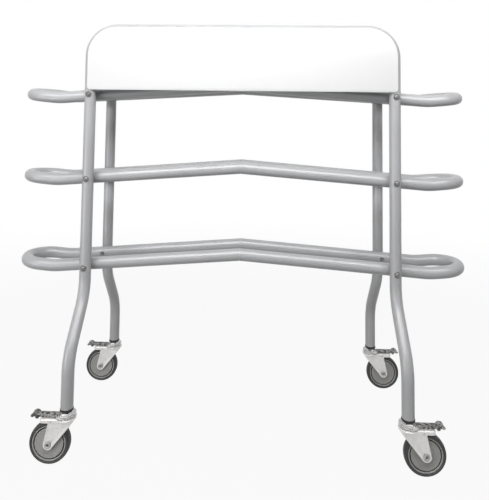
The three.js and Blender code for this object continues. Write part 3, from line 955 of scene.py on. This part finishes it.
# %% Twelve bolts
bolt_places = []
bolt_nodes = []
for tier in TIERS:
    for depth_name, depth in DEPTHS.items():
        for side_name, side in SIDES.items():
            outside = depth * (POST_LINE + POST_RADIUS + SEAT_GAP)
            lift = REAR_LIFT[tier] if depth > 0 else 0
            spot = (side * HALF_SPACING, outside, rail_height(tier) + lift)
            bolt_places.append((*spot, (0, -depth, 0)))
            bolt_nodes.append(f"{tier}_bolt_{depth_name}_{side_name}")
bolts = copies("shelf_bolts", one_bolt, bolt_places, "zinc")
# The bolts' finish has a painted dark reflection in its base colour.
finish_piece(bolts, "zinc", "frame", *bolt_nodes, finish="dark_zinc")
print(len(bolt_places), "bolts")

# %% [markdown]
# ## Rear post caps
# A moulded plug with a thin domed head closes each rear post, so that no water gets in. It
# is a turned piece: its section is drawn once, from the axis to the axis, as (radius,
# height, rounding of the corner), and is spun round.


# %% Rear post caps
PLUG_LENGTH = 20


def post_cap(name):
    corners = [
        (0, -PLUG_LENGTH),
        (14.6, -PLUG_LENGTH, 1),
        (15.4, SEAT_GAP, 0.1),
        (POST_RADIUS, SEAT_GAP, 0.4),
        (POST_RADIUS, 2.2, 1.4),
        (14, 3.0, 6),
        (0, 3.3),
    ]
    return turned(name, rounded(corners, closed=False), sides=40)


for side_name, side in SIDES.items():
    cap = post_cap(f"rear_post_plug_{side_name}")
    spot = Matrix.Translation((side * HALF_SPACING, POST_LINE, rear_top))
    finish_piece(cap, "black_plastic", "frame", f"rear_post_cap_{side_name}", place=spot)

# %% [markdown]
# ## Casters
# Four alike, so each part is drawn once, with the swivel axis at the origin and the wheel
# trailing along +X, and is then copied to its four places. The ones on the left are turned
# half round, so that all trail outwards. Each part rides on the body that it turns with.
#
# A wheel is a grey plastic hub with a rubber tyre moulded round it. Both are the same on
# both sides, so half a section is drawn and mirrored before it is spun. Painted shade is
# kept as a value at each point, worked out from the point's place: on the rounded outer
# edge of the tread, and at the bottom of the groove in the hub.

# %% Wheel: tyre and hub
TREAD_HALF = 13.6
TYRE_INSIDE = 52.5
HUB_HALF = 17.2
HUB_RIM = 52.2
HUB_WEB = 44.5
GROOVE_END = 48.0
GROOVE_FLOOR = 4.5  # from the wheel's middle
# Half the width, along the axle, of the painted shade in the hub's groove.
GROOVE_SHADE_HALF = 10.6
AXLE_RADIUS = 6.3
# Painted shade on the rounded outer tread: how dark it gets, and where it starts and fades in.
TREAD_SHADE_DEPTH = 0.85
TREAD_SHADE_START = 58.6
TREAD_SHADE_FADE = 1.6


def wear_and_painted_shade(made, rule):
    """Keeps a value at each point, worked out by the rule from the point's place: painted shade on
    the wheels, and wear on the pedal.
    """
    kept = made.data.attributes.new("wear_and_painted_shade", "FLOAT", "POINT")
    for vertex, entry in zip(made.data.vertices, kept.data):
        entry.value = float(rule(vertex.co))
    return made


def along_y(made):
    made.data.transform(Matrix.Rotation(math.pi / 2, 4, "X"))
    return made


def wheel_piece(name, corners, sides):
    """Spins a section round the Y axis. Its corners run outwards from the wheel's middle."""
    half = [tuple(point) for point in rounded(corners, closed=False, steps=4)]
    whole = half + [(radius, -along) for radius, along in reversed(half)]
    return along_y(turned(name, whole, sides))


def tyre():
    corners = [
        (TYRE_INSIDE, 0.001),
        (TYRE_INSIDE, 11.8, 0.5),
        (54.0, 11.8, 0.4),
        (55.0, 13.0, 1.2),
        (58.0, TREAD_HALF, 3.0),
        (61.0, 11.0, 3.5),
        (WHEEL_RADIUS, 4.0, 10.0),
        (WHEEL_RADIUS, 0.001),
    ]

    # Painted shade that darkens the tread towards its rounded outer edge.
    def tread_painted_shade(spot):
        return TREAD_SHADE_DEPTH * min(1, max(0, (spot.xz.length - TREAD_SHADE_START) / TREAD_SHADE_FADE))

    return wear_and_painted_shade(wheel_piece("tyre", corners, 128), tread_painted_shade)


def hub():
    corners = [
        (AXLE_RADIUS, 0.001),
        (AXLE_RADIUS, HUB_HALF, 0.4),
        (12.5, HUB_HALF, 1.2),
        (13.5, 12.0, 1.5),
        (20.0, 10.6, 3.0),
        (38.0, 11.2, 4.0),
        (42.8, 11.8, 1.2),
        (HUB_WEB, 11.2, 0.5),
        (HUB_WEB + 0.2, GROOVE_FLOOR, 0.5),
        (GROOVE_END, GROOVE_FLOOR, 0.5),
        (GROOVE_END + 0.2, 11.2, 0.5),
        (49.4, 12.2, 0.8),
        (HUB_RIM - 0.3, 12.2, 0.6),
        (HUB_RIM, 9.0, 0.3),
        (HUB_RIM, 0.001),
    ]

    # Painted shade at the bottom of the groove in the hub.
    def groove_painted_shade(spot):
        return HUB_WEB < spot.xz.length < GROOVE_END + 0.25 and abs(spot.y) < GROOVE_SHADE_HALF

    return wear_and_painted_shade(wheel_piece("hub", corners, 96), groove_painted_shade)


tyre_pattern, hub_pattern = tyre(), hub()
for pattern in (tyre_pattern, hub_pattern):
    print(pattern.name, "has", len(pattern.data.polygons), "faces")


# %% [markdown]
# The fork is pressed from 3 mm sheet: a crown folded down on both sides into cheeks that
# reach the axle. A tray with rounded edges is made first, as the press would draw it, and
# the cheek's outline is cut from it afterwards, as the trimming tool would. A raised disc
# for the stem, a shallow recess in each cheek and the holes are cut and joined last.

# %% Fork
FORK_HALF = 20.5
FORK_SHEET = 3
FORK_FRONT = 77
FORK_REAR = -30
FORK_EYE = 14.5
SKIRT_FOOT = 126.5
FOLD = 5
CHEEK_RECESS = 0.8
RECESS_INSET = 3.6
KINGPIN_HOLE = 9.3
AXLE_HOLE = 6.35
PIN_HOLE = 2.85
THROUGH = 60  # a cutter that is longer than the fork is wide
CROWN_DISC = 29.9
CROWN_DISC_FOOT = 134.2
SLOT_HALF = 8.5
PEDAL_PIN = (41, 130.5)
PEDAL_HALF = 10
PEDAL_SHEET = 2.5


def drawn_tray():
    """A closed shell of rings: up the inside of the tray, over its rim and up the outside."""
    corners = [
        (FORK_REAR, -FORK_HALF, 18),
        (FORK_FRONT, -FORK_HALF, 9),
        (FORK_FRONT, FORK_HALF, 9),
        (FORK_REAR, FORK_HALF, 18),
    ]
    outline = rounded(corners, steps=10)
    middle, half = (FORK_FRONT + FORK_REAR) / 2, (FORK_FRONT - FORK_REAR) / 2
    foot = WHEEL_RADIUS - FORK_EYE - 5
    shape = bmesh.new()

    def ring(inset, z):
        points = [
            (middle + (p.x - middle) * (half - inset) / half, p.y * (FORK_HALF - inset) / FORK_HALF)
            for p in outline
        ]
        return [shape.verts.new((x, y, z)) for x, y in points]

    def skin(inset, radius, steps):
        """Rings from the foot up and round the fold, this far inside the sheet's outside."""
        rings = [ring(inset, foot)]
        for k in range(steps + 1):
            turn = math.pi / 2 * k / steps
            drop = radius * (1 - math.sin(turn))
            rings.append(ring(inset + radius * (1 - math.cos(turn)), CROWN_TOP - inset - drop))
        return rings

    outside = skin(0, FOLD, 6)
    inside = skin(FORK_SHEET, FOLD - FORK_SHEET, 4)
    shell = inside[::-1] + outside
    for low, high in zip(shell, shell[1:]):
        for k in range(len(low)):
            n = (k + 1) % len(low)
            shape.faces.new((low[k], low[n], high[n], high[k]))
    shape.faces.new(outside[-1])
    shape.faces.new(inside[-1][::-1])
    bmesh.ops.recalc_face_normals(shape, faces=shape.faces)
    mesh = bpy.data.meshes.new("fork_tray")
    shape.to_mesh(mesh)
    shape.free()
    return solid("fork_tray", mesh)


def tangent(point, centre, radius, side):
    """Angle in degrees at which a line from the point touches a circle."""
    dx, dz = point[0] - centre[0], point[1] - centre[1]
    away = math.hypot(dx, dz)
    return math.degrees(math.atan2(dz, dx) + side * math.acos(radius / away))


def cheek_outline(inset=0.0):
    axle = (TRAIL, WHEEL_RADIUS)
    radius = FORK_EYE - inset
    rear = (FORK_REAR + inset * 1.6, CROWN_TOP - 3.5)
    front = (TRAIL + 1 - inset, SKIRT_FOOT - (8 if inset else 0))
    rear_turn = tangent(rear, axle, radius, 1)
    front_turn = tangent(front, axle, radius, -1)
    eye = arc(*axle, radius, rear_turn, front_turn + 360, steps=20)
    if inset:
        top = CROWN_TOP - 10
        return rounded([(rear[0] + 5, top, 4), *eye, (front[0], top, 3)], steps=4)
    skirt = [(front[0], front[1], 1.5), (FORK_FRONT - 2.5, SKIRT_FOOT, 2)]
    corners = [(FORK_REAR - 1, CROWN_TOP + 1), rear, *eye, *skirt]
    corners += [(FORK_FRONT + 1, SKIRT_FOOT + 9), (FORK_FRONT + 1, CROWN_TOP + 1)]
    return rounded(corners, steps=4)


def slot_corners(side):
    """The slot that a folded side of the pedal dips into."""
    inner, outer = PEDAL_HALF - PEDAL_SHEET - SEAT_GAP, PEDAL_HALF + SEAT_GAP
    near, far = PEDAL_PIN[0] - SLOT_HALF, PEDAL_PIN[0] + SLOT_HALF
    return [(x, side * y, 1) for x, y in [(near, inner), (far, inner), (far, outer), (near, outer)]]


def fork():
    made = drawn_tray()
    combine(made, upright("trim", [cheek_outline()], THROUGH, edge=0), "INTERSECT")
    disc = [
        (11, CROWN_DISC_FOOT),
        (CROWN_DISC - 1.8, CROWN_DISC_FOOT, 1),
        (CROWN_DISC, CROWN_DISC_FOOT + 0.8, 0.8),
        (CROWN_DISC, CROWN_TOP - 0.8, 0.7),
        (CROWN_DISC - 1.2, CROWN_TOP, 0.8),
        (11, CROWN_TOP),
    ]
    combine(made, turned("crown_disc", [tuple(p) for p in rounded(disc, steps=3)], 64), "UNION")
    bore = [(0, 120), (KINGPIN_HOLE, 120), (KINGPIN_HOLE, 150), (0, 150)]
    combine(made, turned("kingpin_hole", bore, 32), "DIFFERENCE")
    for side in SIDES.values():
        outline = cheek_outline(RECESS_INSET)
        recess = upright("recess", [outline], 2 * CHEEK_RECESS, side * FORK_HALF)
        combine(made, recess, "DIFFERENCE")
        slot = plate("slot", [rounded(slot_corners(side), steps=3)], 12, edge=0)
        slot.data.transform(Matrix.Translation((0, 0, CROWN_TOP)))
        combine(made, slot, "DIFFERENCE")
    for centre, radius in [((TRAIL, WHEEL_RADIUS), AXLE_HOLE), (PEDAL_PIN, PIN_HOLE)]:
        combine(made, upright("hole", [circle(*centre, radius)], THROUGH, edge=0), "DIFFERENCE")
    return soften(made, 0.45)


fork_pattern = fork()
print("fork has", len(fork_pattern.data.polygons), "faces")

# %% [markdown]
# The pedal is pressed from thinner sheet: an arm with folded sides, a flat ring round the
# stem that locks the swivel, and a dished pad at the front for the toe. It is drawn as it
# stands when it is pressed, with the arm level. The ring is level when the pedal is let go,
# so it is drawn level and then turned about the pin. The pad is a sheet bent over two ways
# at once, which is a grid of points with a thickness.

# %% Brake pedal
PEDAL_TOP = 145.5
PEDAL_FOOT = 138.6
PEDAL_START = 25
PEDAL_REACH = 86
PEDAL_PRESS = math.radians(7)
PIN_EYE = 3.5
PIN_REACH = 22
PIN_RADIUS = 2.5
RING_OUTSIDE = 29.89
RING_INSIDE = 21.5
RING_WEAR = 0.3
PAD_CENTRE = (95.5, 137.5)
PAD_RADIUS = 13.4
PAD_SHEET = 2
PAD_PROFILE = [(0, 1.2), (4, 1), (8, 0.5), (10.5, 0), (12.2, 0.3), (13.4, 1.3), (14, 2.8), (14, 9)]
AT_PIN = Matrix.Translation((PEDAL_PIN[0], 0, PEDAL_PIN[1]))
PRESSED = AT_PIN @ Matrix.Rotation(PEDAL_PRESS, 4, "Y") @ AT_PIN.inverted()


def pedal_side(side):
    """One folded side of the arm, which dips to the pin."""
    pin_x, pin_z = PEDAL_PIN
    corners = [
        (PEDAL_START, PEDAL_FOOT + 2.4),
        (pin_x - 6, PEDAL_FOOT + 0.3, 1),
        (pin_x - 3.2, pin_z - PIN_EYE, 2),
        (pin_x + 3.2, pin_z - PIN_EYE, 2),
        (pin_x + 6, PEDAL_FOOT, 2),
        (PEDAL_REACH, PEDAL_FOOT),
        (PEDAL_REACH, PEDAL_TOP),
        (PEDAL_START, PEDAL_TOP),
    ]
    y = side * (PEDAL_HALF - PEDAL_SHEET / 2)
    return upright("pedal_side", [rounded(corners, steps=3)], PEDAL_SHEET, y, edge=0.2)


def pedal_ring():
    outline = [circle(0, 0, RING_OUTSIDE, 64), circle(0, 0, RING_INSIDE, 64)]
    ring = plate("pedal_ring", outline, PEDAL_SHEET, edge=0.4)
    level = Matrix.Translation((0, 0, PEDAL_FOOT + PEDAL_SHEET / 2))
    ring.data.transform(PRESSED @ level)
    return ring


def pedal_pad():
    """A grid of points: an arc one way, and dished with folded edges the other way."""
    across = [(-y, drop) for y, drop in reversed(PAD_PROFILE[1:])] + PAD_PROFILE
    shape = bmesh.new()
    rows = []
    for dx, dz in arc(0, 0, 1, 190, 20, 28):
        x, z = PAD_CENTRE
        reach = [(y, PAD_RADIUS - drop) for y, drop in across]
        rows.append([shape.verts.new((x + r * dx, y, z + r * dz)) for y, r in reach])
    for low, high in zip(rows, rows[1:]):
        for k in range(len(low) - 1):
            shape.faces.new((low[k], high[k], high[k + 1], low[k + 1]))
    mesh = bpy.data.meshes.new("pedal_pad")
    shape.to_mesh(mesh)
    shape.free()
    pad = wall(solid("pedal_pad", mesh), PAD_SHEET)
    tidy(pad.data)
    return soften(pad, 0.3, angle=60)


def brake_pedal():
    near, far, half = PEDAL_START, PEDAL_REACH, PEDAL_HALF
    web = [(near, -half), (far, -half), (far, half), (near, half)]
    holes = [circle(36, 0, 3.5), circle(74, 0, 3.5)]
    holes.append(rounded([(51, -4, 2), (62, -4, 2), (62, 4, 2), (51, 4, 2)], steps=3))
    made = plate("pedal_web", [web, *holes], PEDAL_SHEET)
    made.data.transform(Matrix.Translation((0, 0, PEDAL_TOP - PEDAL_SHEET / 2)))
    half_pin = [(0, -PIN_REACH), (PIN_RADIUS, -PIN_REACH, 0.8)]
    whole_pin = half_pin + [(PIN_RADIUS, PIN_REACH, 0.8), (0, PIN_REACH)]
    pin = along_y(turned("pin", rounded(whole_pin, False, 3), 20))
    pin.data.transform(AT_PIN)
    for part in (pedal_side(-1), pedal_side(1), pedal_ring(), pedal_pad(), pin):
        combine(made, part, "UNION")

    def wear(spot):
        on_arm = spot.x > PEDAL_START - 0.5 and abs(spot.y) < PEDAL_HALF + 5
        return 1 if on_arm else RING_WEAR

    return wear_and_painted_shade(made, wear)


pedal_pattern = brake_pedal()
print("pedal has", len(pedal_pattern.data.polygons), "faces")

# %% [markdown]
# Between fork and leg stand a plated stem, whose hexagon takes the spanner and whose disc
# runs on the crown, and a plastic insert that fills the tube's end. The axle is a hollow
# rivet, with its rim rolled over the cheek. All are turned pieces, and only the hexagon is
# cut from a plate: its upper corners are chamfered by what it has in common with a cone.

# %% Stem, insert and axle
DISC_RADIUS = 20.8
HEX_RADIUS = 19
STEM_TOP = 192
INSERT_RADIUS = 14.9
FLANGE_RADIUS = 20.3
FLANGE_HEIGHT = 5.4
INSERT_BORE = 6.9
INSERT_LENGTH = 45


def stem():
    shaft = [
        (0, 127.7),
        (12.2, 127.7, 1),
        (13, 134.7, 0.6),
        (9, 134.7, 0.2),
        (9, 138.3),
        (DISC_RADIUS - 1.2, 138.3, 0.4),
        (DISC_RADIUS, 139.2, 0.5),
        (DISC_RADIUS, 140.4, 0.6),
        (DISC_RADIUS - 2.5, DISC_TOP, 0.8),
        (16, DISC_TOP, 0.3),
        (16, 150),
        (6, 150),
        (6, STEM_TOP, 1.2),
        (0, STEM_TOP),
    ]
    made = turned("stem", rounded(shaft, False, 3), 56)
    nut = plate("nut", [hexagon(HEX_RADIUS, 0)], BOSS_TOP - DISC_TOP + 0.6, edge=0)
    nut.data.transform(Matrix.Translation((0, 0, (BOSS_TOP + DISC_TOP - 0.6) / 2)))
    cone = [(0, 130), (30, 130), (30, BOSS_TOP - 7), (15.5, BOSS_TOP + 0.01), (0, BOSS_TOP + 0.01)]
    combine(nut, turned("chamfer", cone, 56), "INTERSECT")
    combine(made, soften(nut, 0.35), "UNION")
    tidy(made.data)
    return made


def insert():
    low = LEG_FOOT - SEAT_GAP
    corners = [
        (INSERT_BORE, low - 8),
        (14.5, low - 8, 0.6),
        (15.0, low - FLANGE_HEIGHT, 0.3),
        (FLANGE_RADIUS, low - FLANGE_HEIGHT, 0.9),
        (FLANGE_RADIUS, low, 0.5),
        (INSERT_RADIUS, low, 0.1),
        (INSERT_RADIUS, low + INSERT_LENGTH, 1),
        (INSERT_BORE, low + INSERT_LENGTH, 0.5),
    ]
    return turned("insert", rounded(corners, steps=3), 56)


def axle():
    """A hollow rivet's two ends, seen from outside as a rolled rim round a dark hole."""
    rim = FORK_HALF + 0.3
    corners = [
        (0, rim - 6),
        (4.2, rim - 6, 0.5),
        (4.2, rim + 0.4, 0.5),
        (5.6, rim + 1.5, 0.6),
        (8.2, rim + 1.5, 0.8),
        (9.6, rim + 0.7, 0.4),
        (9.8, rim, 0.3),
        (6.0, rim),
        (6.0, 0.001),
    ]
    return wheel_piece("axle", corners, 48)


# %% [markdown]
# Each pattern is copied to its four places. A row says which slot a part belongs to, which
# body it rides on and which node it stands for. The insert and the stem belong to the
# frame, the fork and the axle swivel, and the wheel and the pedal turn on the fork.

# %% Four casters
PARTS = [
    ("insert", insert(), "black_plastic", "frame", "socket_insert"),
    ("stem", stem(), "chrome", "frame", "caster_stem"),
    ("fork", fork_pattern, "zinc", "caster", "caster_fork"),
    ("pedal", pedal_pattern, "zinc", "pedal", "brake_pedal"),
    ("tyre", tyre_pattern, "tread", "wheel", "wheel_tyre"),
    ("hub", hub_pattern, "grey_plastic", "wheel", "wheel_hub"),
    ("axle", axle(), "zinc", "caster", "axle_bolt"),
]
ON_AXLE = Matrix.Translation((TRAIL, 0, WHEEL_RADIUS))
for place, side, depth in PLACES:
    turn = Matrix.Rotation(0 if side > 0 else math.pi, 4, "Z")
    there = Matrix.Translation((side * HALF_SPACING, depth * FOOT_LINE, 0)) @ turn
    for name, pattern, slot, body, node in PARTS:
        part = solid(f"{name}_{place}", pattern.data.copy())
        rides = body if body == "frame" else f"{body}_{place}"
        spot = there @ ON_AXLE if name in ("tyre", "hub", "axle") else there
        finish = "dull_zinc" if name == "axle" else None
        finish_piece(part, slot, rides, f"{node}_{place}", place=spot, finish=finish)
for _, pattern, *_ in PARTS:
    bpy.data.objects.remove(pattern)

# %% [markdown]
# ## Floor
# The cart stands on a white floor, as for a catalogue. A floor that is lit until it is
# white would clip the pale metal too, so this one is a plain matt grey that glows white
# for the camera and for mirrors only. A little of the grey stays near the cart, and that
# keeps the soft shadow under the wheels.

# %% Floor
FLOOR_SIZE = 40
FLOOR_DROP = 0.0005  # so that no wheel lies in the floor's plane
NEAR_GLOW = 0.94


def is_seen(maker):
    """1 for rays from the camera, or by way of a mirror or glass, and 0 for all others."""
    rays = maker.node("ShaderNodeLightPath").outputs
    seen = Sum(maker, rays["Is Camera Ray"]) + Sum(maker, rays["Is Glossy Ray"])
    return seen + Sum(maker, rays["Is Transmission Ray"])


def white_floor():
    finish = Finish("white_floor")
    finish.set(Base_Color=grey(0.3), Roughness=0.9, Specular_IOR_Level=0.0)
    away = finish.node("ShaderNodeVectorMath", {"operation": "LENGTH"}, {0: finish.place})
    far = Sum(finish, away.outputs["Value"]).above(1.2, 4.0)
    share = is_seen(finish) * (NEAR_GLOW + (1 - NEAR_GLOW) * far)
    glow = finish.node("ShaderNodeEmission", inputs={"Color": grey(1.0), "Strength": 1.0})
    inputs = {0: share, 1: finish.shader.outputs[0], 2: glow.outputs[0]}
    blend = finish.node("ShaderNodeMixShader", inputs=inputs)
    finish.feed(finish.tree.nodes["Material Output"].inputs["Surface"], blend.outputs[0])
    return finish


bpy.ops.mesh.primitive_plane_add(size=FLOOR_SIZE, location=(0, 0, -FLOOR_DROP))
floor = bpy.context.object
floor.name = "floor"
floor.data.materials.append(white_floor().material)
print("floor is", FLOOR_SIZE, "m wide")

# %% [markdown]
# ## Light
# The world is white where it is seen, and a faint even light to everything else, so the
# lamps decide the shading. Two far strips draw long soft lines on the tubes, a wide panel
# near the sign whitens it and lights the shelves from the front, a low lamp on the left
# lights the casters, and a weak one above fills the tops.


# %% World and lamps
def soft_world(level):
    world = bpy.data.worlds.new("studio")
    bpy.context.scene.world = world
    world.use_nodes = True
    maker = Maker(world.node_tree)
    seen = is_seen(maker).above(0, 1)
    background = world.node_tree.nodes["Background"].inputs
    maker.feed(background["Color"], grey(1.0))
    maker.feed(background["Strength"], seen + (1 - seen) * level)


def softbox(name, place, target, size, power):
    lamp = bpy.data.lights.new(name, "AREA")
    lamp.shape = "RECTANGLE"
    lamp.size, lamp.size_y = size
    lamp.energy = power
    made = bpy.data.objects.new(name, lamp)
    bpy.context.scene.collection.objects.link(made)
    made.location = place
    made.rotation_euler = (Vector(target) - Vector(place)).to_track_quat("-Z", "Y").to_euler()
    print(f"{name}: {power} W from {place}")


soft_world(0.06)
softbox("left_strip", (-2.2, -4.6, 4.5), (-0.5, -0.1, 0.7), (4.0, 0.5), 50)
softbox("right_strip", (2.2, -4.6, 4.5), (0.5, -0.1, 0.7), (4.0, 0.5), 12)
softbox("near_panel", (0.04, -1.0, 1.95), (0, -0.1, 0.9), (2.4, 0.6), 23)
softbox("left_fill", (-1.9, -1.6, 0.5), (-0.4, 0, 0.3), (1.2, 1.2), 11)
softbox("top_lamp", (0, -0.2, 2.8), (0, 0, 0.6), (2.0, 1.0), 4)

# %% [markdown]
# ## Camera
# The camera's place, turn and focal length come from one fit to edges of the cart, whose
# sizes are known. The cart lies low in the photograph's frame, while the camera looks
# almost level, so the lens is shifted, as a view camera's is, and uprights stay upright.

# %% Camera
SENSOR_WIDTH = 36
CAMERA_PLACE = Vector((58.632, -1688.177, 1022.587)) * METRES
CAMERA_YAW = math.radians(-1.7)
CAMERA_PITCH = math.radians(2.948)
CAMERA_ROLL = math.radians(0.707)
IMAGE_WIDTH, IMAGE_HEIGHT = 489, 500
FOCAL_PIXELS = 461.291
CENTRE_ROW = 106.903


def photo_camera():
    forward = Vector(
        (
            math.sin(CAMERA_YAW) * math.cos(CAMERA_PITCH),
            math.cos(CAMERA_YAW) * math.cos(CAMERA_PITCH),
            math.sin(CAMERA_PITCH),
        )
    )
    level = Vector((math.cos(CAMERA_YAW), -math.sin(CAMERA_YAW), 0))
    upwards = level.cross(forward)
    across = level * math.cos(CAMERA_ROLL) + upwards * math.sin(CAMERA_ROLL)
    up = upwards * math.cos(CAMERA_ROLL) - level * math.sin(CAMERA_ROLL)
    lens = bpy.data.cameras.new("photo_camera")
    lens.sensor_fit = "HORIZONTAL"
    lens.sensor_width = SENSOR_WIDTH
    lens.lens = SENSOR_WIDTH * FOCAL_PIXELS / IMAGE_WIDTH
    lens.shift_y = (CENTRE_ROW - IMAGE_HEIGHT / 2) / IMAGE_WIDTH
    made = bpy.data.objects.new("photo_camera", lens)
    bpy.context.scene.collection.objects.link(made)
    turn = Matrix((across, up, -forward)).transposed().to_4x4()
    made.matrix_world = Matrix.Translation(CAMERA_PLACE) @ turn
    bpy.context.scene.camera = made
    return made


camera = photo_camera()
print("lens", round(camera.data.lens, 2), "shift", round(camera.data.shift_y, 4))
bpy.context.scene.view_settings.view_transform = "Standard"
